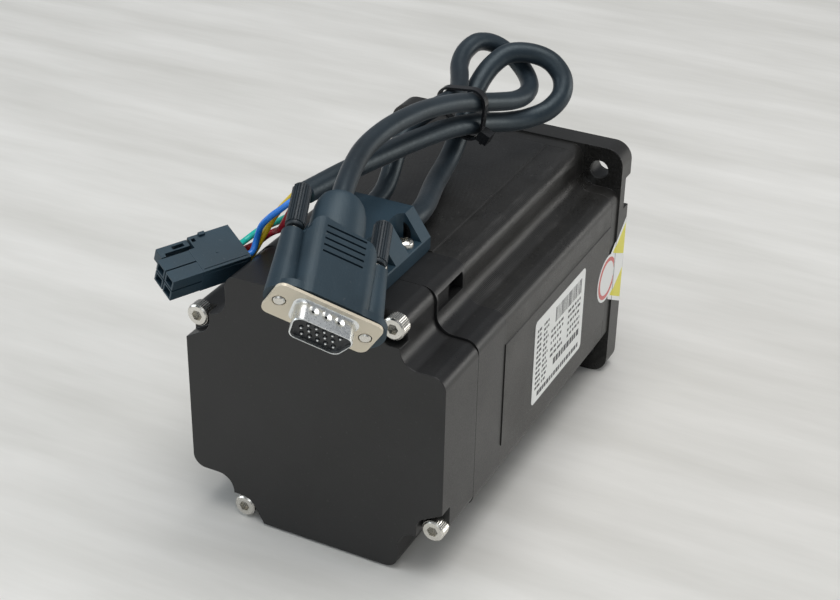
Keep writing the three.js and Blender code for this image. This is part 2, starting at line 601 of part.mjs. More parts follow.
// The four phase leads fan out of the power cable's end and run into the back of the plug.
const LEAD = 1.9;
const LEADS = {
  yellow: {
    colour: 0xd9b91a,
    route: [
      [-15, 22.1, 62.9], [-15.3, 21.1, 62.7], [-16.4, 20.6, 61.7], [-18.6, 20.8, 59.2],
      [-22.2, 21.1, 55.4], [-25.2, 20.8, 50.6], [-26.2, 21, 46.5], [-28.6, 20.6, 43.2],
      [-29.8, 20, 40.6], [-30.8, 18, 37.8], [-31.3, 15.9, 37],
    ],
  },
  blue: {
    colour: 0x2280e8,
    route: [
      [-13, 21.6, 62.9], [-13.2, 20.7, 62.8], [-14, 19.2, 62.1], [-16.2, 17.7, 60.4],
      [-19.2, 17.4, 57.6], [-22.8, 17.7, 54.3], [-26.7, 18.4, 49.8], [-28.7, 18.9, 45],
      [-29.2, 17.3, 41.5], [-29.9, 15.3, 40.8],
    ],
  },
  red: {
    colour: 0xb01c2c,
    route: [
      [-14.8, 22.1, 60.8], [-15.1, 21.1, 60.5], [-16, 20, 59.2], [-17.2, 19.3, 56.8],
      [-19.4, 19.8, 52.8], [-22.6, 21.8, 48.2], [-25.4, 23.4, 46.1], [-28.2, 23.6, 43.9],
      [-31.2, 22.6, 41], [-34.3, 20.6, 39.2], [-35.1, 17.7, 38.7],
    ],
  },
  teal: {
    colour: 0x13c2b4,
    route: [
      [-12.8, 21.5, 60.8], [-12.9, 20.7, 60.6], [-13.7, 20.7, 59.2], [-15.6, 21.9, 56.8],
      [-18.9, 22.7, 53.7], [-22.8, 23.6, 50.6], [-27, 24.3, 47.6], [-30.9, 23.4, 45],
      [-33.2, 20.6, 42.9], [-33.7, 17.1, 42.5],
    ],
  },
};
for (const [name, { colour, route }] of Object.entries(LEADS)) {
  add(`${name}_lead`, tube(route, LEAD, 8, 11), paint(colour, 0.4));
}

// ---------------------------------------------------------------- cable tie
// The convex outline stretched round a set of circles given as [x, z, radius].
function wrapped(circles, grow, steps = 24) {
  const points = circles.flatMap(([x, z, r]) => arc(x, z, r + grow, 0, 360, steps).slice(0, -1))
    .sort((a, b) => a[0] - b[0] || a[1] - b[1]);
  const turn = (o, a, b) => (a[0] - o[0]) * (b[1] - o[1]) - (a[1] - o[1]) * (b[0] - o[0]);
  const half = (list) => list.reduce((kept, p) => {
    while (kept.length > 1 && turn(kept[kept.length - 2], kept[kept.length - 1], p) <= 0.001) kept.pop();
    return [...kept, p];
  }, []).slice(0, -1);
  return [...half(points), ...half([...points].reverse())];
}
// The strands it holds, where the two cables pass it: X, Z and the radius it leaves for each.
const STRANDS = [[5.4, 67.3, 3.85], [-2.6, 66.9, 3.35], [4.3, 59.4, 4.1]];
const TIE = { y: 93, width: 2.5, thick: 0.8, headTurn: 25 }; // the head sits below the last strand

function cableTie() {
  const [y0, y1] = [TIE.y - TIE.width / 2, TIE.y + TIE.width / 2];
  const loop = alongY(wrapped(STRANDS, TIE.thick), y0, y1, [wrapped(STRANDS, 0)]);
  const [x, z, r] = STRANDS[2];
  const inner = r + 0.35;
  const head = box(inner, inner + 4.4, TIE.y - 2.5, TIE.y + 2.5, -2.4, 2.2);
  const tail = box(inner + 1.6, inner + 2.6, y0, y1, -3.4, 2);
  for (const piece of [head, tail]) {
    piece.rotateY(THREE.MathUtils.degToRad(TIE.headTurn));
    piece.translate(x, 0, z);
  }
  return carve(loop, [head, tail]);
}
add('cable_tie', cableTie(), BLACK_PLASTIC);

// ---------------------------------------------------------------- power plug
// A two-by-two crimp-terminal plug. Inside its group +Y runs from the mating face to the leads.
const PLUG = { half: 4.6, halfHeight: 4.1, tubes: 10, length: 26, pitchX: 2.35, pitchZ: 2.1 };
const GUARD = 9; // the latch stands this far out on the -X side
const plugGroup = new THREE.Group();
plugGroup.position.set(-43.67, -7.32, 39.8);
plugGroup.rotation.set(0, THREE.MathUtils.degToRad(22), THREE.MathUtils.degToRad(-25.1), 'ZXY');
motor.add(plugGroup);

function powerPlug() {
  const { half, halfHeight, tubes, length, pitchX, pitchZ } = PLUG;
  const cells = [[1, 1], [-1, 1], [-1, -1], [1, -1]].map(([x, z]) => [x * pitchX, z * pitchZ]);
  const shells = cells.map(([x, z]) => box(x - 2.15, x + 2.15, 0, tubes + 1, z - 1.9, z + 1.9));
  const guard = carve(box(-GUARD, -half + 1, 12.2, length, -0.9, halfHeight), [],
    [box(-GUARD + 1, -GUARD + 2.2, 12.8, 14, 1, halfHeight + 1)]);
  return carve(box(-half, half, tubes, length, -halfHeight, halfHeight), [...shells, guard],
    cells.flatMap(([x, z]) => [
      box(x - 1.45, x + 1.45, -1, 20, z - 1.25, z + 1.25),
      rod(1.2, 19, length + 1, x, z, 10),
    ]));
}
add('power_plug', powerPlug(), BLACK_PLASTIC, plugGroup);

// The latch arm hooks over the socket's ramp; it bends about its root beside the housing.
function plugLatch() {
  return carve(box(-8.9, -6.3, 1.8, 11.9, -0.7, 3.5), [box(-6.8, -5.2, 1.8, 3.4, -0.7, 3.5)],
    [box(-8, -6.9, 6.5, 10.3, -1, 4)]);
}
add('plug_latch', plugLatch(), BLACK_PLASTIC, plugGroup);

// ---------------------------------------------------------------- encoder plug
// A 15-pin D-sub plug in a moulded hood. Inside its group +Y runs from the face plate to the cable.
const hoodGroup = new THREE.Group();
hoodGroup.position.set(19.2, -26.4, 54.6);
hoodGroup.rotation.set(
  THREE.MathUtils.degToRad(19.5), THREE.MathUtils.degToRad(30.8), THREE.MathUtils.degToRad(20.7), 'ZXY');
motor.add(hoodGroup);
const THUMB_X = 12.5;
const D_SHELL = { halfWidth: 8.5, halfHeight: 4.15, depth: 6, wall: 0.5 };

// The D outline of the connector, shrunk by `inset` on every side.
function dOutline(inset, steps = 3) {
  const w = D_SHELL.halfWidth - inset;
  const h = D_SHELL.halfHeight - inset;
  const r = 2.2 - inset * 0.5;
  const lean = 1.3;
  return [
    ...arc(w - r, h - r, r, 0, 90, steps), ...arc(-w + r, h - r, r, 90, 180, steps),
    ...arc(-w + r + lean, -h + r, r, 190, 270, steps), ...arc(w - r - lean, -h + r, r, 270, 350, steps),
  ];
}
const SIDES = { left: -THUMB_X, right: THUMB_X };

function dsubShell() {
  const { depth, wall } = D_SHELL;
  return carve(alongY(roundedRect(30.8, 12.5, 2.4), 0, 1), [alongY(dOutline(0), -depth, 0.5)], [
    alongY(dOutline(wall), -depth - 1, 2),
    ...Object.values(SIDES).map((x) => rod(1.9, -1, 2, x, 0, HOLE_SIDES)),
  ]);
}
add('dsub_shell', dsubShell(), NICKEL, hoodGroup);

const PIN_PITCH = 2.29;
const PIN_ROW = 1.98;
const INSERT_FACE = -4.4;
function dsubInsert() {
  const pins = [1, 0, -1].flatMap((row) => [-2, -1, 0, 1, 2].map((column) =>
    rod(0.42, -5.3, 0.5, (column - (row === 0 ? 0.5 : 0) + 0.2) * PIN_PITCH, row * PIN_ROW, 6)));
  return carve(alongY(dOutline(D_SHELL.wall + TOUCH), INSERT_FACE, 7), pins);
}
add('dsub_insert', dsubInsert(), BLACK_PLASTIC, hoodGroup);

const HOOD_FRONT = 1 + TOUCH;
const HOOD_HALF = 6.8; // half the height of the hood's middle block
const HOOD_RIM = { x: 1.1, width: 33.4, height: 12.8, round: 6.2, end: 3.7 };
const TUNNEL_END = 23.2;
const BLOCK_END = 26.6;
const BOOT = { x: -1.6, z: 1.6, bore: 1.6, cableBore: 3.3, cableStart: 36.4, end: 39.8 };
const GRIP_GROOVES = [16.1, 18.3, 20.5, 22.7, 24.9];

// A skin over ellipses across Y, each given as [y, x, z, half width, half height].
function ovalSkin(stations, sides = 16) {
  const positions = [];
  const index = [];
  for (const [y, x, z, a, b] of stations) {
    for (let k = 0; k < sides; k += 1) {
      const t = (2 * Math.PI * k) / sides;
      positions.push(x + a * Math.cos(t), y, z + b * Math.sin(t));
    }
  }
  const last = (stations.length - 1) * sides;
  for (let k = 0; k < sides; k += 1) {
    const next = (k + 1) % sides;
    for (let row = 0; row < last; row += sides) {
      index.push(row + k, row + next, row + sides + next, row + k, row + sides + next, row + sides + k);
    }
    if (k > 0 && next > 0) index.push(0, next, k, last, last + k, last + next);
  }
  const g = new THREE.BufferGeometry();
  g.setAttribute('position', new THREE.Float32BufferAttribute(positions, 3));
  g.setIndex(index);
  return g;
}

function dsubHood() {
  const front = alongY(
    roundedRect(HOOD_RIM.width, HOOD_RIM.height, HOOD_RIM.round, 4, HOOD_RIM.x, 0), HOOD_FRONT, HOOD_RIM.end);
  const tunnels = Object.values(SIDES).map((x) => rod(4.3, HOOD_FRONT, TUNNEL_END, x, 0, SMALL_CIRCLE, 3.1));
  const block = alongY(roundedRect(21.5, 2 * HOOD_HALF, 4.4, 4, 0.15, 0), HOOD_FRONT, TUNNEL_END - 1);
  const shoulder = alongY(roundedRect(17.4, 2 * HOOD_HALF, 4.4, 4, -0.3, 0), TUNNEL_END - 2, BLOCK_END);
  const boot = ovalSkin([
    [25, -0.6, 0, 7.9, 6.5], [30, -0.65, 0.2, 7.85, 6.75], [33, -0.75, 0.5, 7.7, 6.8],
    [36, -0.95, 0.9, 7.3, 6.6], [38.2, -1.25, 1.3, 6.6, 6.1], [BOOT.end, BOOT.x, BOOT.z, 4.8, 4.6],
  ]);
  const grooves = GRIP_GROOVES.flatMap((y) => [1, -1].map((side) =>
    box(-5.8, 5.8, y - 0.35, y + 0.35, side > 0 ? HOOD_HALF - 0.6 : -HOOD_HALF - 1,
      side > 0 ? HOOD_HALF + 1 : -HOOD_HALF + 0.6)));
  return carve(front, [...tunnels, block, shoulder, boot], [
    alongY(roundedRect(18, 9, 2), 0, 20),
    alongY(roundedRect(9, 7, 2), 19, 25),
    rod(BOOT.bore, 24, BOOT.cableStart + 1, BOOT.x, BOOT.z, 12),
    rod(BOOT.cableBore, BOOT.cableStart, BOOT.end + 1, BOOT.x, BOOT.z, 12),
    ...Object.values(SIDES).map((x) => rod(1.9, 0, TUNNEL_END + 2, x, 0, HOLE_SIDES)),
    ...grooves,
  ]);
}
add('dsub_hood', dsubHood(), BLACK_PLASTIC, hoodGroup);

// Each thumbscrew is a threaded shank that slides in its tunnel and a ribbed knob that turns.
const KNOB = { y0: 25.2, y1: 40.3, radius: 2.7, core: 2.3, ribs: 14 };
function thumbKnob(x) {
  const outline = [];
  for (let k = 0; k < KNOB.ribs; k += 1) {
    const a = (360 * k) / KNOB.ribs;
    const pitch = 360 / KNOB.ribs;
    outline.push(
      ...arc(0, 0, KNOB.radius, a - pitch * 0.25, a + pitch * 0.25, 1),
      polar(KNOB.radius - 0.3, a + pitch * 0.5),
    );
  }
  const ribs = alongY(outline, KNOB.y0 + 1.2, KNOB.y1 - 1);
  const core = rod(KNOB.core, KNOB.y0, KNOB.y1, 0, 0, SMALL_CIRCLE);
  const slot = box(-4, 4, KNOB.y1 - 1.5, KNOB.y1 + 1, -0.5, 0.5);
  const knob = carve(core, [ribs], [slot]);
  knob.translate(x, 0, 0);
  return knob;
}
const SHANK_TIP = -0.3;
for (const [side, x] of Object.entries(SIDES)) {
  const shank = carve(rod(1.5, SHANK_TIP, KNOB.y0 - TOUCH, x, 0, HOLE_SIDES),
    [rod(1.75, 8, 9, x, 0, HOLE_SIDES)]);
  add(`${side}_thumbscrew_shank`, shank, STAINLESS, hoodGroup);
  add(`${side}_thumbscrew_knob`, thumbKnob(x), BLACK_PLASTIC, hoodGroup);
}

// ---------------------------------------------------------------- rating label
const LABEL = { y0: 62.5, y1: 103.5, z0: -17, z1: 13.5, thick: 0.2 };
add('rating_label',
  box(BODY_HALF, BODY_HALF + LABEL.thick, LABEL.y0, LABEL.y1, LABEL.z0, LABEL.z1), LABEL_WHITE);

export default part;
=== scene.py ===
"""Looks of the 86 mm closed-loop servo motor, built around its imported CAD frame.

Shapes are drawn in millimetres in the motor's own axes: +Y along the shaft from the middle of the
rear face, +X to the right seen from the rear, +Z up. MOTOR carries them into the row frame in metres.
"""
import json
import math
import random

import bmesh
import bpy
from mathutils import Matrix, Vector


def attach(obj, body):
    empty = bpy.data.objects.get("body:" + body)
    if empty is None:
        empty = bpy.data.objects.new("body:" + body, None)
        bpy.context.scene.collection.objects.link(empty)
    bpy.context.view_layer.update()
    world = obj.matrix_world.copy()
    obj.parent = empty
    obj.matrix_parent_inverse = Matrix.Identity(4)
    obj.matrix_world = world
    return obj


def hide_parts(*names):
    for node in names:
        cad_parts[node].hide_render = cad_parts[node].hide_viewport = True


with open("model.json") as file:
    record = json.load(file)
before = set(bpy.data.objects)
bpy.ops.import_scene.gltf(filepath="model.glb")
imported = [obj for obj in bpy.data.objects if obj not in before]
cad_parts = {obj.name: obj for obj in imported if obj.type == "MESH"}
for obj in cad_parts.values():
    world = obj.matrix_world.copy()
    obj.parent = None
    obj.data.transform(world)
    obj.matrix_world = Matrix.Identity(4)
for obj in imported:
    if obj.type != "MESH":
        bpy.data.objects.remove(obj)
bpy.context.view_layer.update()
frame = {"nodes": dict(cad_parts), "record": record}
scene = bpy.context.scene
rng = random.Random(86)

MM = 0.001
MOTOR = Matrix.Translation((0, -0.089, 0.043)) @ Matrix.Scale(MM, 4)


def placed(position, degrees):
    """A group inside the motor, turned about Z, then X, then Y."""
    z, x, y = (math.radians(a) for a in degrees)
    turn = Matrix.Rotation(z, 4, "Z") @ Matrix.Rotation(x, 4, "X") @ Matrix.Rotation(y, 4, "Y")
    return MOTOR @ Matrix.Translation(position) @ turn


POWER_PLUG = placed((-43.67, -7.32, 39.8), (-25.1, 0, 22))
ENCODER_PLUG = placed((19.2, -26.4, 54.6), (20.7, 19.5, 30.8))

# ---------------------------------------------------------------- camera
camera = bpy.data.objects.new("camera", bpy.data.cameras.new("camera"))
camera.data.sensor_width = 36
camera.data.lens = 70.52
camera.data.clip_start = 0.02
YAW, PITCH_DOWN, ROLL = 0.457146, 0.523058, -0.020098  # radians
look = Matrix.Rotation(YAW, 4, "Z") @ Matrix.Rotation(-PITCH_DOWN, 4, "X") @ Matrix.Rotation(ROLL, 4, "Y")
level = Matrix.Rotation(math.pi / 2, 4, "X")  # from looking down to looking along +Y
camera.matrix_world = Matrix.Translation((0.201418, -0.429409, 0.312871)) @ look @ level
scene.collection.objects.link(camera)
scene.camera = camera

# ---------------------------------------------------------------- who stands for what
record = frame["record"]
SLOT_OF = {s["node"]: s["material_slot"] for s in record["subparts"]}
BODY_OF = {n: body for body, members in record["behaviour"]["bodies"].items() for n in members}
MATERIALS = {}


def dress(obj, *stands_for):
    """obj takes the finish, the body and the place of the CAD nodes it stands for."""
    first = stands_for[0]
    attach(obj, BODY_OF[first])
    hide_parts(*stands_for)
    obj.data.materials.clear()
    obj.data.materials.append(MATERIALS[SLOT_OF[first]])
    return obj


# ---------------------------------------------------------------- material nodes
class Nodes:
    """A small builder for one object-space material."""

    def __init__(self, name):
        self.material = bpy.data.materials.new(name)
        self.material.use_nodes = True
        self.tree = self.material.node_tree
        self.shader = self.tree.nodes["Principled BSDF"]
        self.place = self.new("ShaderNodeTexCoord").outputs["Object"]

    def new(self, kind, **settings):
        node = self.tree.nodes.new(kind)
        for key, value in settings.items():
            setattr(node, key, value)
        return node

    def join(self, start, end):
        self.tree.links.new(start, end)

    def noise(self, scale, detail=3, roughness=0.55, stretch=(1, 1, 1)):
        """Grey noise about 1/scale metres across."""
        vector = self.place
        if stretch != (1, 1, 1):
            mapping = self.new("ShaderNodeMapping")
            mapping.inputs["Scale"].default_value = stretch
            self.join(vector, mapping.inputs["Vector"])
            vector = mapping.outputs["Vector"]
        node = self.new("ShaderNodeTexNoise")
        node.inputs["Scale"].default_value = scale
        node.inputs["Detail"].default_value = detail
        node.inputs["Roughness"].default_value = roughness
        self.join(vector, node.inputs["Vector"])
        return node.outputs["Fac"]

    def remap(self, value, low, high, start=0.3, end=0.7):
        node = self.new("ShaderNodeMapRange")
        for key, number in (("From Min", start), ("From Max", end), ("To Min", low), ("To Max", high)):
            node.inputs[key].default_value = number
        self.join(value, node.inputs["Value"])
        return node.outputs["Result"]

    def mix(self, factor, a, b):
        """Colour a where factor is 0 and b where it is 1; a and b are colours or sockets."""
        node = self.new("ShaderNodeMix", data_type="RGBA")
        self.join(factor, node.inputs["Factor"])
        for socket, colour in ((node.inputs[6], a), (node.inputs[7], b)):
            if isinstance(colour, (tuple, list)):
                socket.default_value = (*colour[:3], 1)
            else:
                self.join(colour, socket)
        return node.outputs[2]

    def math(self, operation, a, b=0.0):
        node = self.new("ShaderNodeMath", operation=operation)
        for socket, value in ((node.inputs[0], a), (node.inputs[1], b)):
            if isinstance(value, (int, float)):
                socket.default_value = value
            else:
                self.join(value, socket)
        return node.outputs[0]

    def axis(self, name):
        split = self.new("ShaderNodeSeparateXYZ")
        self.join(self.place, split.inputs[0])
        return split.outputs[name]

    def bump(self, height, depth, strength=1.0):
        """Adds relief: height from 0 to 1, depth in metres."""
        node = self.new("ShaderNodeBump")
        node.inputs["Strength"].default_value = strength
        node.inputs["Distance"].default_value = depth
        self.join(height, node.inputs["Height"])
        normal = self.shader.inputs["Normal"]
        if normal.is_linked:
            self.join(normal.links[0].from_socket, node.inputs["Normal"])
        self.join(node.outputs["Normal"], normal)

    def set(self, **values):
        for key, value in values.items():
            socket = self.shader.inputs[key.replace("_", " ")]
            if isinstance(value, (int, float, tuple)):
                socket.default_value = (*value, 1) if isinstance(value, tuple) else value
            else:
                self.join(value, socket)


def scaled(colour, factor):
    return tuple(min(1.0, c * factor) for c in colour)


def coating(name, colour, roughness, grain=2600, depth=0.00003, spread=0.25, metallic=0.0, dust=0.0,
            tint=(1.0, 1.0, 1.0)):
    """Paint or moulded plastic: fine grain, slow patches in tone and gloss, and a little dust."""
    n = Nodes(name)
    fine = n.noise(grain, 2)
    slow = n.noise(45, 3)
    tone = n.mix(n.remap(slow, 0, 1), scaled(colour, 1 - spread), scaled(colour, 1 + spread))
    if dust:
        specks = n.remap(n.noise(900, 4, 0.7), 0, dust, 0.62, 0.8)
        tone = n.mix(specks, tone, (0.32, 0.31, 0.29))
    n.set(Base_Color=tone, Metallic=metallic, Specular_Tint=tint)
    gloss = n.math("ADD", n.remap(slow, -0.04, 0.04), n.remap(fine, roughness - 0.05, roughness + 0.05))
    n.set(Roughness=gloss)
    n.bump(fine, depth)
    return n


def metal(name, colour, roughness, grain=1500, stretch=(1, 1, 1), depth=0.000008, stain=0.12):
    """Bare metal with fine tool marks along one axis and slight staining."""
    n = Nodes(name)
    marks = n.noise(grain, 3, 0.6, stretch)
    slow = n.noise(160, 3)
    tone = n.mix(n.remap(slow, 0, 1), scaled(colour, 1 - stain), scaled(colour, 1 + stain / 3))
    worn = n.remap(marks, roughness - 0.06, roughness + 0.06)
    n.set(Base_Color=tone, Metallic=1.0, Roughness=n.math("ADD", worn, n.remap(slow, -0.04, 0.05)))
    n.bump(marks, depth)
    return n


BLACK = (0.0105, 0.0105, 0.0108)
WARM_BLACK = (0.0155, 0.015, 0.014)
HOOD_BLACK = (0.019, 0.035, 0.049)
BLUE_SHEEN = (0.8, 0.94, 1.0)
CABLE_BLACK = (0.011, 0.0185, 0.026)
CREAM_TIN = (0.72, 0.65, 0.52)
AXIS_HEIGHT = 0.043  # metres, as are the sizes below
CORNER_NOTCH_FROM = 0.0292  # a corner notch lies further than this from both axis planes
PLATE_BACK = 0.0427
LAMINATION_PITCH = 0.0007
WIRE_PITCH = 0.0008


def flange_paint():
    """Satin black, with the glossy wet coat that collects in the corner notches round the holes."""
    n = coating("flange_paint", WARM_BLACK, 0.38, dust=0.25)
    inner = [n.math("GREATER_THAN", n.math("ABSOLUTE", value), CORNER_NOTCH_FROM)
             for value in (n.axis("X"), n.math("SUBTRACT", n.axis("Z"), AXIS_HEIGHT))]
    corner = n.math("MULTIPLY", n.math("MULTIPLY", *inner), n.math("LESS_THAN", n.axis("Y"), PLATE_BACK))
    satin = n.shader.inputs["Roughness"].links[0].from_socket
    n.set(Roughness=n.math("SUBTRACT", satin, n.math("MULTIPLY", corner, 0.26)))
    n.bump(n.math("MULTIPLY", corner, n.noise(260, 3)), 0.0006)
    return n


def stator_paint():
    """Black paint over the edges of the laminations, which show as fine lines across the length."""
    n = coating("stator_paint", WARM_BLACK, 0.33, grain=1800, dust=0.3)
    lines = n.math("SINE", n.math("MULTIPLY", n.axis("Y"), 2 * math.pi / LAMINATION_PITCH))
    patchy = n.math("MULTIPLY", n.math("ADD", lines, 1.0), n.remap(n.noise(70, 3), 0.1, 0.6))
    n.bump(patchy, 0.00008, 0.8)
    return n


def jacket():
    """Satin PVC cable jacket with faint drawing marks and a bloom."""
    n = coating("cable_jacket", CABLE_BLACK, 0.42, grain=900, spread=0.3, dust=0.12, tint=BLUE_SHEEN)
    n.shader.inputs["Sheen Weight"].default_value = 0.12
    n.shader.inputs["Sheen Roughness"].default_value = 0.4
    return n


def wire(name, colour):
    n = coating(name, colour, 0.3, grain=1400, depth=0.00001, spread=0.08)
    n.shader.inputs["Coat Weight"].default_value = 0.25
    n.shader.inputs["Coat Roughness"].default_value = 0.2
    return n


def tin():
    """Dull cream-coloured tin plate: a soft sheen with hardly any relief."""
    return coating("tinned_shell", CREAM_TIN, 0.42, grain=1100, depth=0.000002, spread=0.04, metallic=0.3)


def film():
    """Matt white polyester with a faint print screen."""
    return coating("label_film", (0.8, 0.81, 0.8), 0.45, grain=3500, depth=0.000004, spread=0.05)


def winding():
    n = metal("copper_wire", (0.72, 0.32, 0.14), 0.3)
    across = n.math("ADD", n.axis("X"), n.axis("Z"))
    strands = n.math("SINE", n.math("MULTIPLY", across, 2 * math.pi / WIRE_PITCH))
    n.bump(strands, 0.0001)
    n.shader.inputs["Coat Weight"].default_value = 0.5
    return n


BUILDERS = {
    "cover_paint": lambda: coating("cover_paint", BLACK, 0.36, grain=2200, dust=0.1),
    "bell_paint": lambda: coating("bell_paint", BLACK, 0.34, grain=2200, dust=0.2),
    "stator_paint": stator_paint,
    "flange_paint": flange_paint,
    "stainless": lambda: metal("stainless", (0.74, 0.72, 0.67), 0.24),
    "black_oxide": lambda: metal("black_oxide", (0.06, 0.06, 0.065), 0.42),
    "ground_steel": lambda: metal("ground_steel", (0.6, 0.61, 0.62), 0.22, stretch=(1, 0.08, 1)),
    "rotor_iron": lambda: metal("rotor_iron", (0.32, 0.32, 0.33), 0.4, stretch=(0.2, 1, 0.2)),
    "copper_wire": winding,
    "insulator": lambda: coating("insulator", (0.7, 0.66, 0.54), 0.5),
    "magnet": lambda: metal("magnet", (0.5, 0.5, 0.52), 0.3),
    "board": lambda: coating("board", (0.02, 0.13, 0.055), 0.35, grain=700, depth=0.00002),
    "disc": lambda: coating("disc", (0.35, 0.42, 0.44), 0.12, depth=0.000002),
    "black_plastic": lambda: coating("black_plastic", (0.014, 0.034, 0.052), 0.46, grain=3000, dust=0.15,
                                     tint=BLUE_SHEEN),
    "hood_plastic": lambda: coating("hood_plastic", HOOD_BLACK, 0.44, grain=2600, depth=0.00004, dust=0.2,
                                    tint=BLUE_SHEEN),
    "knob_plastic": lambda: coating("knob_plastic", (0.016, 0.024, 0.031), 0.42, dust=0.2),
    "cable_jacket": jacket,
    "gland_rubber": lambda: coating("gland_rubber", (0.012, 0.012, 0.013), 0.6),
    "tinned_shell": tin,
    "pin_block": lambda: coating("pin_block", (0.006, 0.008, 0.011), 0.4),
    "yellow_wire": lambda: wire("yellow_wire", (0.8, 0.56, 0.02)),
    "blue_wire": lambda: wire("blue_wire", (0.02, 0.22, 0.8)),
    "red_wire": lambda: wire("red_wire", (0.42, 0.012, 0.03)),
    "teal_wire": lambda: wire("teal_wire", (0.005, 0.5, 0.42)),
    "label_film": film,
    "tie_nylon": lambda: coating("tie_nylon", (0.012, 0.0125, 0.0145), 0.22, grain=1200, depth=0.00001),
    "spring_steel": lambda: metal("spring_steel", (0.5, 0.5, 0.5), 0.3),
}
for slot_name, build in BUILDERS.items():
    MATERIALS[slot_name] = build().material
INK = coating("ink", (0.055, 0.055, 0.06), 0.5, spread=0.3).material
STICKER_YELLOW = coating("sticker_yellow", (0.72, 0.66, 0.05), 0.35, spread=0.05).material
STICKER_RED = coating("sticker_red", (0.62, 0.12, 0.11), 0.35, spread=0.08).material
TIN = MATERIALS["tinned_shell"]
SILVER = metal("bright_tin", (0.84, 0.86, 0.86), 0.3, depth=0.000002, stain=0.04).material

for node_name, node in frame["nodes"].items():
    node.data.materials.clear()
    node.data.materials.append(MATERIALS[SLOT_OF[node_name]])


# ---------------------------------------------------------------- cords: one smooth curve each
def blend(u, v, start, end, at):
    return u * ((end - at) / (end - start)) + v * ((at - start) / (end - start))


def smooth_path(points, per=8):
    """Centripetal Catmull-Rom points through the route, in metres in the row frame."""
    p = [Vector(q) for q in points]
    p = [2 * p[0] - p[1], *p, 2 * p[-1] - p[-2]]
    out = []
    for a, b, c, d in zip(p, p[1:], p[2:], p[3:]):
        t = [0.0]
        for u, v in ((a, b), (b, c), (c, d)):
            t.append(t[-1] + (v - u).length ** 0.5)
        for i in range(per):
            s = t[1] + (t[2] - t[1]) * i / per
            ab = blend(a, b, t[0], t[1], s)
            bc = blend(b, c, t[1], t[2], s)
            cd = blend(c, d, t[2], t[3], s)
            out.append(blend(blend(ab, bc, t[0], t[2], s), blend(bc, cd, t[1], t[3], s), t[1], t[2], s))
    out.append(p[-2])
    return [MOTOR @ q for q in out]


def tube(name, route, diameter, node):
    path = smooth_path(route)
    curve = bpy.data.curves.new(name, "CURVE")
    curve.dimensions = "3D"
    curve.bevel_depth = 1  # times each point's radius
    curve.bevel_resolution = 7
    curve.use_fill_caps = True
    spline = curve.splines.new("POLY")
    spline.points.add(len(path) - 1)
    for point, place in zip(spline.points, path):
        point.co = (*place, 1)
        point.radius = diameter / 2
    spline.use_smooth = True
    obj = bpy.data.objects.new(name, curve)
    scene.collection.objects.link(obj)
    dress(obj, node)
    return obj, path


# The points of both cables come from a smoothing script, and about ten of each were then moved by hand.
# From the motor's outlet to the encoder plug.
ENCODER_ROUTE = [
    (-6.5, 43.8, 48.5), (-6.5, 50.7, 48.5), (-7, 57.4, 49.6), (-8.1, 63.6, 52.5), (-9, 69, 56.6),
    (-8.8, 74.3, 60.9), (-7.1, 80, 64.3), (-4.4, 86.1, 66.1), (-2.5, 92.6, 66.9), (-2.9, 99.4, 67.6),
    (-5.5, 105.7, 68.9), (-8.4, 111.7, 70.7), (-9.6, 118.3, 72.6), (-8.2, 124.9, 73.9), (-4.3, 130, 72.2),
    (1.6, 131.8, 68.2), (7.3, 129.7, 64.3), (11.1, 124.5, 62.3), (12.3, 117.8, 61.8), (11.4, 111, 62.5),
    (9.4, 104.6, 64), (7.2, 98.3, 65.7), (5.1, 92, 67.6), (3.5, 85.6, 69.4), (2.3, 79, 71),
    (1.4, 72.3, 72.4), (0.6, 65.6, 73.5), (-0.1, 58.8, 74.2), (-0.8, 51.9, 74.6), (-1.2, 45.1, 74.7),
    (-1.2, 38.2, 74.5), (-0.6, 31.3, 74.1), (0.7, 24.6, 73.4), (2.4, 18, 72.4), (4.3, 11.5, 71),
    (6.5, 5.3, 68.9),
]
# From the motor's outlet to where the four phase leads fan out.
POWER_ROUTE = [
    (8.5, 43.8, 48.5), (8.4, 50.7, 48.4), (7, 57.5, 48), (5, 64.1, 47.5), (3.1, 70.7, 47.4),
    (1.7, 77.5, 47.8), (0.5, 84.2, 48.3), (-0.3, 90.7, 50.1), (-1.1, 96.9, 53.3), (-1.6, 102.7, 57.3),
    (-1.9, 108.3, 61.8), (-1.6, 113.9, 66), (-0.1, 119.6, 69.6), (3.1, 125.2, 72), (9.4, 129.9, 71.5),
    (15.3, 131.6, 69.2), (19.9, 130.6, 64.9), (21.4, 127, 60.6), (19.3, 121.8, 56.9), (14.8, 115.6, 55.2),
    (10.4, 108.2, 55.8), (7.5, 102.1, 57.3), (5.1, 95.8, 58.9), (3, 89.3, 60.2), (1, 82.8, 61.1),
    (-0.9, 76.1, 61.6), (-2.7, 69.5, 61.9), (-4.5, 62.8, 62.1), (-6.1, 56.1, 62.2), (-7.6, 49.3, 62.4),
    (-9.1, 42.6, 62.5), (-10.6, 35.8, 62.5), (-12.2, 29.1, 62.2), (-13.8, 22.4, 61.9),
]
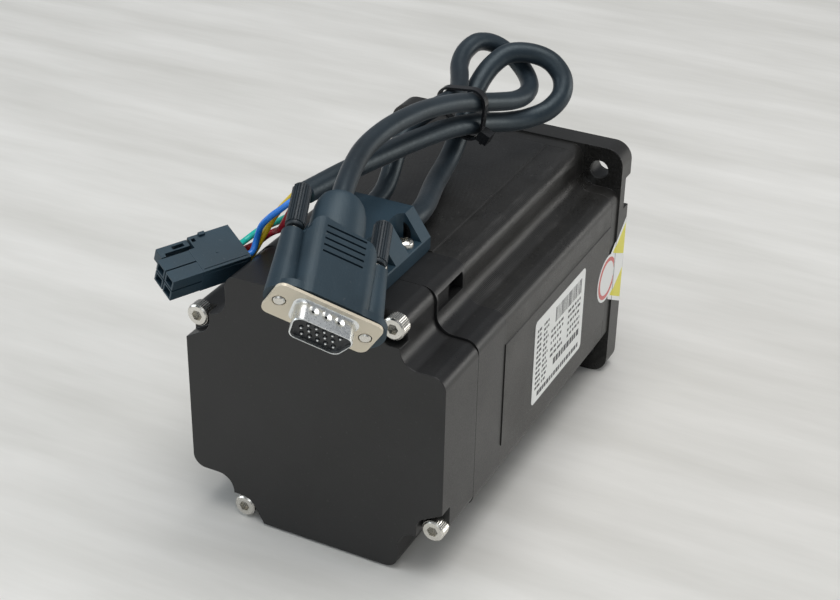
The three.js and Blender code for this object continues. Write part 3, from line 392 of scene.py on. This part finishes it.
LEAD_ROUTES = {
    "yellow": [
        (-15, 22.1, 62.9), (-15.3, 21.1, 62.7), (-16.4, 20.6, 61.7), (-18.6, 20.8, 59.2), (-21.9, 21.1, 55.2),
        (-24.6, 20.9, 51), (-26.8, 20.7, 46.8), (-28.6, 20.3, 43.3), (-29.9, 19.3, 40.4), (-30.8, 17.7, 38.3),
        (-31.3, 15.9, 37)],
    "blue": [
        (-13, 21.6, 62.9), (-13.2, 20.7, 62.8), (-14, 19.2, 62.1), (-16.2, 17.7, 60.4), (-19.2, 17.4, 57.6),
        (-22.8, 17.7, 54.3), (-26.7, 18.4, 49.8), (-28.7, 18.9, 45), (-29.2, 17.3, 41.5),
        (-29.9, 15.3, 40.8)],
    "red": [
        (-14.8, 22.1, 60.8), (-15.1, 21.1, 60.5), (-16, 20, 59.2), (-17.2, 19.3, 56.8), (-19.4, 19.8, 52.8),
        (-22.6, 21.8, 48.2), (-25.4, 23.4, 46.1), (-28.2, 23.6, 43.9), (-31.2, 22.6, 41), (-34.3, 20.6, 39.2),
        (-35.1, 17.7, 38.7)],
    "teal": [
        (-12.8, 21.5, 60.8), (-12.9, 20.7, 60.6), (-13.7, 20.7, 59.2), (-15.6, 21.9, 56.8),
        (-18.9, 22.7, 53.7), (-22.8, 23.6, 50.6), (-27, 24.3, 47.6),
        (-30.9, 23.4, 45), (-33.2, 20.6, 42.9), (-33.7, 17.1, 42.5)],
}
ENCODER_DIAMETER = 0.006
POWER_DIAMETER = 0.0066
LEAD_DIAMETER = 0.0019
encoder_jacket, encoder_path = tube("encoder_jacket", ENCODER_ROUTE, ENCODER_DIAMETER, "encoder_cable")
power_jacket, power_path = tube("power_jacket", POWER_ROUTE, POWER_DIAMETER, "power_cable")
leads = {name: tube(f"{name}_wire", route, LEAD_DIAMETER, f"{name}_lead")
         for name, route in LEAD_ROUTES.items()}


# ---------------------------------------------------------------- outlines, as (x, z) points
def arc(cx, cz, r, start, end, steps=8):
    angles = [math.radians(start + (end - start) * i / steps) for i in range(steps + 1)]
    return [(cx + r * math.cos(a), cz + r * math.sin(a)) for a in angles]


def turned_by(point, quarters):
    x, z = point
    for _ in range(quarters):
        x, z = -z, x
    return x, z


QUARTERS = range(4)
FLAT_ROUND, NOTCH_ROUND = 4.2, 5.4  # at the ends of a flat, and in the corner of a notch
BAND_HALF = 17.8  # half the width of a flat's raised middle


def body_outline(half, notch, band=0.0):
    """The notched square of the body; band raises the middle of each flat."""
    corner = [
        *arc(half - FLAT_ROUND, notch - FLAT_ROUND, FLAT_ROUND, 0, 90, 9),
        *arc(notch + NOTCH_ROUND, notch + NOTCH_ROUND, NOTCH_ROUND, 270, 180, 9),
        *arc(notch - FLAT_ROUND, half - FLAT_ROUND, FLAT_ROUND, 0, 90, 9),
    ]
    if band:
        foot = BAND_HALF + band
        corner += [(foot, half), (BAND_HALF, half + band), (-BAND_HALF, half + band), (-foot, half)]
    return [turned_by(p, k) for k in QUARTERS for p in corner]


def rounded_rect(width, height, r, steps=6, cx=0, cz=0):
    a, b = width / 2 - r, height / 2 - r
    return [*arc(cx + a, cz + b, r, 0, 90, steps), *arc(cx - a, cz + b, r, 90, 180, steps),
            *arc(cx - a, cz - b, r, 180, 270, steps), *arc(cx + a, cz - b, r, 270, 360, steps)]


def circle(r, sides=48, cx=0, cz=0):
    return arc(cx, cz, r, 0, 360, sides)[:-1]


# ---------------------------------------------------------------- solids
def as_mesh(bm):
    bmesh.ops.remove_doubles(bm, verts=bm.verts, dist=1e-5)
    bmesh.ops.recalc_face_normals(bm, faces=bm.faces)
    mesh = bpy.data.meshes.new("solid")
    bm.to_mesh(mesh)
    bm.free()
    return mesh


def loft(rings, closed=False):
    """A skin over rings of the same number of 3-D points; the ends are capped unless it closes on itself."""
    bm = bmesh.new()
    loops = [[bm.verts.new(p) for p in ring] for ring in rings]
    pairs = list(zip(loops, loops[1:])) + ([(loops[-1], loops[0])] if closed else [])
    count = len(loops[0])
    for a, b in pairs:
        for i in range(count):
            bm.faces.new((a[i], a[(i + 1) % count], b[(i + 1) % count], b[i]))
    if not closed:
        bm.faces.new(loops[0])
        bm.faces.new(loops[-1])
    return as_mesh(bm)


def along_y(outline, y0, y1):
    return loft([[(x, y, z) for x, z in outline] for y in (y0, y1)])


def along_z(outline, z0, z1):
    return loft([[(x, y, z) for x, y in outline] for z in (z0, z1)])


def spun(profile, sides=48, x=0, z=0):
    """A solid turned about Y from (radius, y) points, a ring unless both end points are on the axis."""
    on_axis = profile[0][0] == 0 and profile[-1][0] == 0
    inner = profile[1:-1] if on_axis else profile
    rings = [[(x + r * c, y, z + r * s) for c, s in
              ((math.cos(2 * math.pi * k / sides), math.sin(2 * math.pi * k / sides)) for k in range(sides))]
             for r, y in inner]
    return loft(rings, closed=not on_axis)


def rod(r, y0, y1, x=0, z=0, sides=32, r_end=None):
    return spun([(0, y0), (r, y0), (r if r_end is None else r_end, y1), (0, y1)], sides, x, z)


def post(r, z0, z1, x, y, sides=32):
    return along_z(circle(r, sides, x, y), z0, z1)


def box(x0, x1, y0, y1, z0, z1):
    return along_y([(x0, z0), (x1, z0), (x1, z1), (x0, z1)], y0, y1)


def together(meshes):
    """Several meshes as one, without cutting."""
    bm = bmesh.new()
    for mesh in meshes:
        bm.from_mesh(mesh)
    mesh = bpy.data.meshes.new("group")
    bm.to_mesh(mesh)
    bm.free()
    return mesh


def evaluated(mesh, modifiers):
    obj = bpy.data.objects.new("work", mesh)
    scene.collection.objects.link(obj)
    for kind, settings in modifiers:
        modifier = obj.modifiers.new(kind, kind)
        for key, value in settings.items():
            setattr(modifier, key, value)
    graph = bpy.context.evaluated_depsgraph_get()
    shaped = obj.evaluated_get(graph)
    out = bpy.data.meshes.new_from_object(shaped, preserve_all_data_layers=True, depsgraph=graph)
    bpy.data.objects.remove(obj)
    return out


def carve(base, added=(), removed=()):
    tools = []
    modifiers = []
    for operation, meshes in (("UNION", added), ("DIFFERENCE", removed)):
        for mesh in meshes:
            tool = bpy.data.objects.new("tool", mesh)
            scene.collection.objects.link(tool)
            tools.append(tool)
            modifiers.append(("BOOLEAN", {"operation": operation, "object": tool, "solver": "EXACT"}))
    out = evaluated(base, modifiers)
    for tool in tools:
        bpy.data.objects.remove(tool)
    return out


def finished(name, mesh, material, bevel=0.3, segments=2, place=MOTOR, sharp=40):
    """Rounds the edges, evens the shading and puts the mesh in the row frame."""
    mesh.materials.clear()
    mesh.materials.append(material)
    if bevel:
        mesh = evaluated(mesh, [("BEVEL", {
            "width": bevel, "segments": segments, "limit_method": "ANGLE", "angle_limit": math.radians(32),
            "use_clamp_overlap": True, "miter_outer": "MITER_ARC"})])
    mesh.polygons.foreach_set("use_smooth", [True] * len(mesh.polygons))
    mesh.set_sharp_from_angle(angle=math.radians(sharp))
    mesh = evaluated(mesh, [("WEIGHTED_NORMAL", {"keep_sharp": True, "weight": 60})])
    mesh.transform(place)
    mesh.name = name
    obj = bpy.data.objects.new(name, mesh)
    scene.collection.objects.link(obj)
    return obj


def piece(name, mesh, *nodes, **options):
    return dress(finished(name, mesh, MATERIALS[SLOT_OF[nodes[0]]], **options), *nodes)


def extra(name, mesh, material, slot, **options):
    """A piece of the housing with no CAD node of its own."""
    obj = finished(name, mesh, material, **options)
    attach(obj, "housing")
    return obj


# ---------------------------------------------------------------- rear cover
HALF = 42.4
COVER_END, BELL_END, CORE_END, PLATE_START, FACE = 21.3, 40.1, 125.7, 131.4, 140.0
COVER_NOTCH, NOTCH = 28.2, 28.9
SCREW_X, SCREW_Z = 25.3, 38.9
POCKET_DEPTH, POCKET_RADIUS = 5.0, 4.8
POCKET_FLARE = 17.8  # where a pocket meets the flat
screw_spots = [turned_by((SCREW_X, SCREW_Z), k) for k in QUARTERS]


def screw_pocket(k):
    outline = [(NOTCH + 2, HALF + 2), (POCKET_FLARE, HALF + 2), (POCKET_FLARE, HALF),
               *arc(SCREW_X, SCREW_Z, POCKET_RADIUS, 205, 270, 10), (NOTCH + 2, SCREW_Z - POCKET_RADIUS)]
    return along_y([turned_by(p, k) for p in outline], -1, POCKET_DEPTH)


cover = carve(
    along_y(body_outline(HALF, COVER_NOTCH), 0, COVER_END), [],
    [*(screw_pocket(k) for k in QUARTERS),
     *(rod(2.3, POCKET_DEPTH - 1, COVER_END + 1, x, z) for x, z in screw_spots)])
piece("rear_cover_casting", cover, "rear_cover", bevel=0.45, segments=3)


HEAD_Y, HEAD_R, HEAD_HEIGHT = 1.0, 3.5, 4.0
KNURLS = 36


def cap_head(x, z):
    """A socket cap screw with a knurled side and its hexagon socket."""
    knurl = []
    for i in range(2 * KNURLS):
        r, a = HEAD_R - 0.12 * (i % 2), math.pi * i / KNURLS
        knurl.append((x + r * math.cos(a), z + r * math.sin(a)))
    head = along_y(knurl, HEAD_Y + 0.5, HEAD_Y + HEAD_HEIGHT)
    crown = spun([(0, HEAD_Y), (HEAD_R - 0.55, HEAD_Y), (HEAD_R - 0.15, HEAD_Y + 0.4),
                  (HEAD_R - 0.1, HEAD_Y + 0.9), (0, HEAD_Y + 0.9)], 48, x, z)
    shank = rod(1.95, HEAD_Y + HEAD_HEIGHT - 0.5, 30, x, z)
    return carve(head, [crown, shank], [rod(HEAD_R * 0.5, HEAD_Y - 1, HEAD_Y + 2.4, x, z, 6)])


for i, (x, z) in enumerate(screw_spots, 1):
    piece(f"cover_screw_{i}_turned", cap_head(x, z), f"cover_screw_{i}", bevel=0.12, sharp=30)

# ---------------------------------------------------------------- rear bell, stator and flange
RECESS = (34.4, 39.8)


def bell_recess(k):
    shallow = [(27.9, RECESS[0]), (NOTCH + 1, RECESS[0]), (NOTCH + 1, RECESS[1]), (27.9, RECESS[1])]
    deep = [(25.6, RECESS[0]), *shallow[1:3], (25.6, RECESS[1])]
    return [along_y([turned_by(p, k) for p in outline], *span) for outline, span in
            ((shallow, (COVER_END + 0.9, 38.2)), (deep, (30.8, 38.2)))]


bell = carve(along_y(body_outline(HALF, NOTCH), COVER_END, BELL_END), [],
             [cut for k in QUARTERS for cut in bell_recess(k)])
piece("rear_bell_casting", bell, "rear_bell", bevel=0.4, segments=3)

BAND = 0.35
stator = along_y(body_outline(HALF, NOTCH, band=BAND), BELL_END, CORE_END)
piece("stator_stack", stator, "stator_core", bevel=0.12)

HOLE_AT, HOLE_R = 34.8, 3.25
corners = [(sx * HOLE_AT, sz * HOLE_AT) for sx in (1, -1) for sz in (1, -1)]


def edge_recess(k):
    outline = [(41, 20.4), (44, 20.4), (44, 31.8), (41, 31.8)]
    return along_y([turned_by(p, k) for p in outline], 135.7, FACE + 1)


plate = along_y(rounded_rect(86, 86, 6, 12), PLATE_START, FACE)
neck = along_y(body_outline(HALF, NOTCH), CORE_END, PLATE_START + 1)
pilot = rod(36.5, FACE - 1, FACE + 2, sides=128)
flange = carve(plate, [neck, pilot], [
    rod(13, 130, FACE + 3, sides=64), *(rod(HOLE_R, PLATE_START - 3, FACE + 1, x, z, 48) for x, z in corners),
    *(edge_recess(k) for k in QUARTERS)])
piece("front_flange_casting", flange, "front_flange", bevel=0.6, segments=3)

# ---------------------------------------------------------------- shaft, key and seal
shaft = carve(
    spun([(0, 100), (8, 100), (8, 124), (7.5, 124), (7.5, 138.3), (7, 138.3), (7, 177), (6, 178),
          (0, 178)], 96), [],
    [along_y([(-2.5, 4), (2.5, 4), (2.5, 9), (-2.5, 9)], 149, 174)])
piece("shaft_turned", shaft, "shaft", bevel=0.15, sharp=30)
key = along_z(rounded_rect(4.9, 24.8, 2.3, 8, 0, 161.5), 4.05, 9.05)
piece("shaft_key_ground", key, "shaft_key", bevel=0.25)
seal = spun([(7.1, 138.6), (12.95, 138.6), (12.95, 141.6), (11.4, 141.6), (10.6, 140.9), (8.6, 140.9),
             (7.9, 141.5), (7.1, 141.5)], 96)
piece("shaft_seal_lip", seal, "shaft_seal", bevel=0.15)

# ---------------------------------------------------------------- moulded cable outlet
OUT_Y = (8.5, 41.5)
CAP_FLOOR = 47.0
TOP = HALF + 12.8
cap_spots = [(x, y) for x in (12.9, -12.9) for y in (16, 32.2)]
EXIT_X = {"encoder": -6.5, "power": 8.5}
EXIT_Z = 48.5
cap_side = [(16.6, HALF + 0.05), (16.6, HALF + 4.2), (10.8, TOP)]
cap_outline = [*cap_side, *((-x, z) for x, z in reversed(cap_side))]


def cap_pocket(x, y):
    """Open to the sloped side, with two rounded inner corners."""
    out = math.copysign(1, x)
    inner = [(x - out * 1.2, y + 1.2, 90, 180), (x - out * 1.2, y - 1.2, 180, 270)]
    corners = [p for cx, cy, a, b in inner for p in (
        arc(cx, cy, 2.9, a, b, 8) if out > 0 else arc(cx, cy, 2.9, 180 - a, 180 - b, 8))]
    return along_z([(x + out * 8, y - 4.1), (x + out * 8, y + 4.1), *corners], CAP_FLOOR, TOP + 1)


outlet = carve(along_y(cap_outline, *OUT_Y), [], [
    *(rod(4.3, 36, 43, x, EXIT_Z) for x in EXIT_X.values()), *(cap_pocket(x, y) for x, y in cap_spots)])
piece("cable_outlet_moulding", outlet, "cable_outlet", bevel=0.5, segments=3)


def pan_screw(x, y):
    """A pan head with a cross recess, standing on Z."""
    dome = [(0, 0), (2.7, 0), (2.7, 0.9), (2.45, 1.5), (1.8, 1.9), (0.9, 2.05), (0, 2.1)]
    head = spun(dome, 40)
    cross = [along_y([(-1.7, -0.35), (1.7, -0.35), (1.7, 0.35), (-1.7, 0.35)], 1.0, 3),
             along_y([(-0.35, -1.7), (0.35, -1.7), (0.35, 1.7), (-0.35, 1.7)], 1.0, 3)]
    screw = carve(head, [rod(1.25, -6, 0.5)], cross)
    screw.transform(Matrix.Translation((x, y, CAP_FLOOR)) @ Matrix.Rotation(math.pi / 2, 4, "X"))
    return screw


for i, (x, y) in enumerate(cap_spots, 1):
    piece(f"outlet_screw_{i}_turned", pan_screw(x, y), f"outlet_screw_{i}", bevel=0.08)
for name, x in EXIT_X.items():
    body = spun([(2.4, 37.6), (4.2, 37.6), (4.2, 41.5), (4.9, 41.6), (4.8, 42.6), (4.2, 43.4), (3.4, 43.5),
                 (2.4, 43.5)], 48, x, EXIT_Z)
    piece(f"{name}_gland_moulding", body, f"{name}_gland", bevel=0.1)

# ---------------------------------------------------------------- cable tie
STRANDS = [(5.4, 67.3, 3.85), (-2.6, 66.9, 3.35), (4.3, 59.4, 4.1)]  # x, z and the radius left for each
TIE_Y, TIE_WIDTH, TIE_THICK = 93.0, 2.5, 0.8


def wrapped(grow):
    """The convex outline stretched round the strands."""
    points = sorted({p for x, z, r in STRANDS for p in circle(r + grow, 64, x, z)})

    def half(ordered):
        kept = []
        for p in ordered:
            while len(kept) > 1:
                (ax, az), (bx, bz) = kept[-2], kept[-1]
                if (bx - ax) * (p[1] - az) - (bz - az) * (p[0] - ax) > 1e-6:
                    break
                kept.pop()
            kept.append(p)
        return kept[:-1]

    return half(points) + half(points[::-1])


tie_loop = carve(along_y(wrapped(TIE_THICK), TIE_Y - TIE_WIDTH / 2, TIE_Y + TIE_WIDTH / 2), [],
                 [along_y(wrapped(0), TIE_Y - TIE_WIDTH, TIE_Y + TIE_WIDTH)])
head_at = STRANDS[2][2] + 0.35
tie_head = carve(box(head_at, head_at + 3.6, TIE_Y - 2.1, TIE_Y + 2.1, -1.9, 1.7), [],
                 [box(head_at + 1, head_at + 2.4, TIE_Y - 1.4, TIE_Y + 1.4, -3, -1.2)])
tie_tail = box(head_at + 1.2, head_at + 2.1, TIE_Y - 1.1, TIE_Y + 1.1, -3, 1.5)
head_turn = Matrix.Rotation(math.radians(25), 4, "Y")
for mesh in (tie_head, tie_tail):
    mesh.transform(Matrix.Translation((STRANDS[2][0], 0, STRANDS[2][1])) @ head_turn)
piece("cable_tie_moulding", carve(tie_loop, [tie_head, tie_tail]), "cable_tie", bevel=0.2)

# ---------------------------------------------------------------- power plug
CELLS = [(x, z) for x in (2.35, -2.35) for z in (2.1, -2.1)]
plug_body = carve(
    box(-4.6, 4.6, 10, 26, -4.1, 4.1),
    [*(box(x - 2.15, x + 2.15, 0, 10.6, z - 1.9, z + 1.9) for x, z in CELLS),
     box(-9, -4, 12.2, 26, -0.9, 4.1), box(-9, -7.9, 15.6, 17.6, 3, 4.9),
     post(0.45, 4, 4.25, -0.8, 17.5, 20)],
    [*(box(x - 1.5, x + 1.5, -1, 20, z - 1.28, z + 1.28) for x, z in CELLS),
     *(rod(1.25, 19, 27, x, z, 24) for x, z in CELLS),
     box(-8, -6.8, 12.8, 14, 1, 6), box(-8.4, -5.4, 20, 27, 0, 3.2), box(3.5, 6, 10.6, 25.2, 3.88, 6),
     box(4.42, 6, 10.6, 25.2, 2.6, 6)])
piece("power_plug_moulding", plug_body, "power_plug", bevel=0.22, place=POWER_PLUG)
latch = carve(box(-8.9, -6.3, 1.8, 11.9, -0.7, 3.5), [box(-6.8, -5.2, 1.8, 3.4, -0.7, 3.5)],
              [box(-8, -6.9, 6.5, 10.3, -1, 4)])
piece("plug_latch_arm", latch, "plug_latch", bevel=0.2, place=POWER_PLUG)
pins = together([rod(0.75, 6, 18, x, z, 16) for x, z in CELLS])
extra("plug_terminals", pins, TIN, "tinned_shell", bevel=0, place=POWER_PLUG)

# ---------------------------------------------------------------- encoder plug
SIDES = {"left": -12.5, "right": 12.5}


def d_outline(inset):
    """The rounded D of the shell, inset from its outside."""
    w, h, r, lean = 8.5 - inset, 4.15 - inset, max(0.4, 2.4 - inset * 0.5), 0.9
    return [*arc(w - r, h - r, r, 0, 90, 6), *arc(-w + r, h - r, r, 90, 180, 6),
            *arc(-w + r + lean, -h + r, r, 190, 270, 6), *arc(w - r - lean, -h + r, r, 270, 350, 6)]


def d_ring(inset, y):
    return [(x, y, z) for x, z in d_outline(inset)]


SHELL_RINGS = (  # inset and y: from the root outside, round the rim, to the root inside
    (-0.85, 0.4), (-0.8, -0.02), (-0.4, -0.15), (-0.12, -0.45), (0, -0.9), (0, -5.7), (0.1, -5.93),
    (0.22, -6), (0.34, -5.93), (0.4, -5.7), (0.4, 0.4))
drawn = loft([d_ring(inset, y) for inset, y in SHELL_RINGS], closed=True)


def dent(x, y):
    """A shallow round dish, 0.45 deep, in the top of the shell."""
    radius, above = 2.6, 2.15
    ball = [(radius * math.sin(math.pi * i / 16), y - radius * math.cos(math.pi * i / 16)) for i in range(17)]
    return spun([(0, ball[0][1]), *ball[1:-1], (0, ball[-1][1])], 48, x, 4.15 + above)


face_plate = carve(along_y(rounded_rect(30.8, 12.5, 2.4, 8), 0, 1), [], [
    along_y(d_outline(0.2), -1, 2), *(rod(1.85, -1, 2, x, 0, 32) for x in SIDES.values())])
piece("dsub_face_plate", face_plate, "dsub_shell", bevel=0.12, place=ENCODER_PLUG)
shell = carve(drawn, [], [dent(x, -2.1) for x in (-4.2, -0.5, 3.2)])
extra("dsub_drawn_shell", shell, SILVER, "tinned_shell", bevel=0, place=ENCODER_PLUG, sharp=24)

PITCH, ROW = 2.29, 1.98
# Three rows of five, the middle one half a pitch to the side.
PIN_SPOTS = [((column - (0.5 if row == 0 else 0) + 0.2) * PITCH, row * ROW)
             for row in (1, 0, -1) for column in range(-2, 3)]
CONTACT = [(0, -4), (0.38, -4), (0.38, -5.3), (0.24, -5.5), (0, -5.5)]
block = carve(along_y(d_outline(0.45), -4.9, 7), [], [rod(0.6, -6, -4.5, x, z, 20) for x, z in PIN_SPOTS])
piece("dsub_pin_block", block, "dsub_insert", bevel=0.15, place=ENCODER_PLUG)
contacts = together([spun(CONTACT, 16, x, z) for x, z in PIN_SPOTS])
extra("dsub_pins", contacts, SILVER, "tinned_shell", bevel=0, place=ENCODER_PLUG)

BOOT_X, BOOT_Z, BOOT_END, TUNNEL_END = -1.6, 1.6, 39.8, 23.2
hood_plan = [(-10.6, 1), (10.9, 1), (10.9, 19.6), *arc(5.7, 20.6, 5.2, 0, 90, 10),
             *arc(-7.0, 25, 2.6, 82, 180, 8), (-9.6, 23.8), (-10.6, 23)]
plan_tool = bpy.data.objects.new("tool", along_z(hood_plan, -8, 8))
scene.collection.objects.link(plan_tool)
core_block = evaluated(along_y(rounded_rect(21.5, 13.6, 4.4, 10, 0.15, 0), 1.3, 29),
                       [("BOOLEAN", {"operation": "INTERSECT", "object": plan_tool, "solver": "EXACT"})])
bpy.data.objects.remove(plan_tool)
BOOT_SHAPE = (  # y, centre x and z, half width and half height
    (24, -0.6, 0, 7.9, 6.5), (27, -0.6, 0, 7.9, 6.65), (30, -0.65, 0.2, 7.85, 6.75),
    (33, -0.75, 0.5, 7.7, 6.8), (36, -0.95, 0.9, 7.3, 6.6), (38, -1.2, 1.25, 6.7, 6.2),
    (39.2, -1.4, 1.45, 5.9, 5.6), (BOOT_END, BOOT_X, BOOT_Z, 4.8, 4.6))


def oval_ring(y, cx, cz, a, b):
    angles = [2 * math.pi * k / 64 for k in range(64)]
    return [(cx + a * math.cos(t), y, cz + b * math.sin(t)) for t in angles]


boot = loft([oval_ring(*station) for station in BOOT_SHAPE])
front_rim = along_y(rounded_rect(33.4, 12.8, 6.2, 14, 1.1, 0), 1.3, 3.7)
GROOVES = (16.1, 18.3, 20.5, 22.7, 24.9)
hood = carve(front_rim, [
    *(rod(4.35, 1.3, TUNNEL_END, x, 0, 48, 3.15) for x in SIDES.values()), core_block, boot], [
    *(box(-5.9, 5.9, y - 0.32, y + 0.32, *rows) for y in GROOVES for rows in ((6.15, 8), (-8, -6.15))),
    rod(3.15, 36, 44, BOOT_X, BOOT_Z, 48), along_y(rounded_rect(18, 9, 2), 1, 12),
    *(rod(2.1, 0, TUNNEL_END + 2, x, 0, 32) for x in SIDES.values())])
piece("dsub_hood_moulding", hood, "dsub_hood", bevel=0.4, segments=3, place=ENCODER_PLUG)

KNOB_RIBS = 22
for side, x in SIDES.items():
    shank = spun([(0, -0.3), (1.25, -0.3), (1.62, 0.05), (1.62, 8), (1.75, 8), (1.75, 9), (1.5, 9),
                  (1.5, 24.9), (0, 24.9)], 32, x, 0)
    piece(f"{side}_screw_turned", shank, f"{side}_thumbscrew_shank", bevel=0.08, place=ENCODER_PLUG)
    ribs = []
    for k in range(KNOB_RIBS):
        a = 360 / KNOB_RIBS * k
        ribs += [*arc(x, 0, 2.7, a - 4.2, a + 4.2, 3), *arc(x, 0, 2.4, a + 8.2, a + 9.8, 1)]
    knob = carve(along_y(ribs, 26.2, 39.6), [
        spun([(0, 25.2), (2.2, 25.2), (2.4, 25.5), (2.4, 40), (2.0, 40.3), (0, 40.3)], 48, x, 0)],
        [box(x - 3, x + 3, 39.1, 41, -0.45, 0.45)])
    piece(f"{side}_knob_moulding", knob, f"{side}_thumbscrew_knob", bevel=0.1, place=ENCODER_PLUG, sharp=30)


# ---------------------------------------------------------------- label and sticker on the right flat
FLAT_X = HALF + BAND


def patch(outline, x0, x1):
    """A thin flat patch on the right flat, from (y, z) points."""
    return loft([[(x, y, z) for y, z in outline] for x in (x0, x1)])


label_outline = rounded_rect(41, 30.5, 1.6, 5, 83, -1.75)
piece("rating_label_film", patch(label_outline, FLAT_X, FLAT_X + 0.12), "rating_label", bevel=0)
marks = []
PRINT = (FLAT_X + 0.12, FLAT_X + 0.135)


def mark(y0, y1, z0, z1):
    marks.append(patch([(y0, z0), (y1, z0), (y1, z1), (y0, z1)], *PRINT))


def greeked_line(y0, y1, z0, z1, word, gap):
    """A line of plain bars where words would be."""
    y = y0
    while y < y1 - 0.6:
        end = min(y1, y + rng.uniform(*word))
        mark(y, end, z0, z1)
        y = end + gap * rng.uniform(0.7, 1.4)


greeked_line(66.5, 101, -15.2, -13.5, (1.0, 2.0), 0.45)
greeked_line(79, 101, -10.4, -8.0, (1.2, 2.1), 0.5)
for z in (-6.2, -4.0, -1.4, 0.9, 3.0):
    greeked_line(76, 86, z, z + 1.0, (0.8, 2.4), 0.7)
    greeked_line(90, 100.5, z, z + 1.0, (0.8, 2.4), 0.7)
y = 79.0
while y < 100:
    width = rng.choice((0.25, 0.4, 0.7))
    mark(y, y + width, 5.4, 10.8)
    y += width + rng.choice((0.3, 0.45, 0.7))
for k in range(12):
    z = -12 + 1.9 * k
    greeked_line(64.4, 68.4, z, z + 0.95, (0.9, 2.2), 0.4)
    greeked_line(69.6, 73.6, z, z + 0.95, (0.7, 1.6), 0.5)
extra("rating_label_print", together(marks), INK, "label_film", bevel=0)


def draped(outline, lift, name, material):
    """A patch that steps from the stator's flat on to the flange's edge, by (y, z) outline."""
    bm = bmesh.new()
    lower = [bm.verts.new((0, y, z)) for y, z in outline]
    bm.faces.new(lower)
    for y in (131.0, 131.8, 139.3):
        everything = [*bm.verts, *bm.edges, *bm.faces]
        bmesh.ops.bisect_plane(bm, geom=everything, plane_co=(0, y, 0), plane_no=(0, 1, 0))
    bmesh.ops.triangulate(bm, faces=bm.faces)
    bmesh.ops.recalc_face_normals(bm, faces=bm.faces)
    for v in bm.verts:
        step = min(1.0, max(0.0, (v.co.y - 131.0) / 0.8))
        v.co.x = FLAT_X + 0.27 * step + lift
    skin = bmesh.ops.extrude_face_region(bm, geom=bm.faces[:])
    for v in (g for g in skin["geom"] if isinstance(g, bmesh.types.BMVert)):
        v.co.x += 0.06
    return extra(name, as_mesh(bm), material, "label_film", bevel=0)


sticker_outline = [(139.6, 15.6), (127.6, 7.0), *arc(125.1, -1.4, 8.6, 73, 287, 24), (127.8, -10.9),
                   (139.6, -17.4)]
draped(sticker_outline, 0.0, "sticker_base", MATERIALS["label_film"])
draped([(139.5, 13.4), (129.4, 6.4), (139.5, 1.6)], 0.06, "sticker_patch_upper", STICKER_YELLOW)
draped([(139.5, -3.8), (129.4, -10.1), (139.5, -15.6)], 0.06, "sticker_patch_lower", STICKER_YELLOW)
ring_spots = [circle(r, 48, 125.1, -1.4) for r in (7.6, 6.2)]
ring = loft([[(x, y, z) for y, z in spots] for x, spots in
             ((FLAT_X + 0.06, ring_spots[0]), (FLAT_X + 0.12, ring_spots[0]), (FLAT_X + 0.12, ring_spots[1]),
              (FLAT_X + 0.06, ring_spots[1]))], closed=True)
extra("sticker_ring", ring, STICKER_RED, "label_film", bevel=0)

# ---------------------------------------------------------------- floor and light
floor_mesh = bpy.data.meshes.new("floor")
floor_mesh.from_pydata([(-6, -6, 0), (6, -6, 0), (6, 6, 0), (-6, 6, 0)], [], [(0, 1, 2, 3)])
floor = bpy.data.objects.new("floor", floor_mesh)
scene.collection.objects.link(floor)
ground = Nodes("floor")
streaks = ground.remap(ground.noise(16, 5, 0.6, (0.35, 2.2, 1)), 0, 1)
ground.set(Base_Color=ground.mix(streaks, (0.66, 0.65, 0.615), (0.82, 0.81, 0.78)), Roughness=0.55)
floor_mesh.materials.append(ground.material)


def softbox(name, place, target, size, power, colour):
    light = bpy.data.lights.new(name, "AREA")
    light.shape = "RECTANGLE"
    light.size, light.size_y = size
    light.energy = power
    light.color = colour
    obj = bpy.data.objects.new(name, light)
    obj.location = place
    obj.rotation_euler = (Vector(target) - Vector(place)).to_track_quat("-Z", "Y").to_euler()
    scene.collection.objects.link(obj)


softbox("overhead", (0.15, -0.05, 1.5), (0.02, 0, 0), (1.3, 1.1), 16, (1, 0.985, 0.97))
softbox("left_fill", (-1.3, -0.7, 0.7), (0, 0, 0.03), (1.0, 0.8), 6, (0.85, 0.94, 1))
softbox("front_fill", (0.3, -1.6, 0.9), (0, 0, 0.03), (1.2, 0.7), 4, (0.92, 0.97, 1))
softbox("right_back", (1.45, 0.9, 0.35), (0, 0, 0.04), (1.2, 0.6), 8, (1, 0.98, 0.94))
world = bpy.data.worlds.new("studio")
world.use_nodes = True
sky = world.node_tree.nodes["Background"]
sky.inputs["Color"].default_value = (0.86, 0.9, 0.95, 1)
sky.inputs["Strength"].default_value = 0.27
scene.world = world
scene.view_settings.view_transform = "Standard"
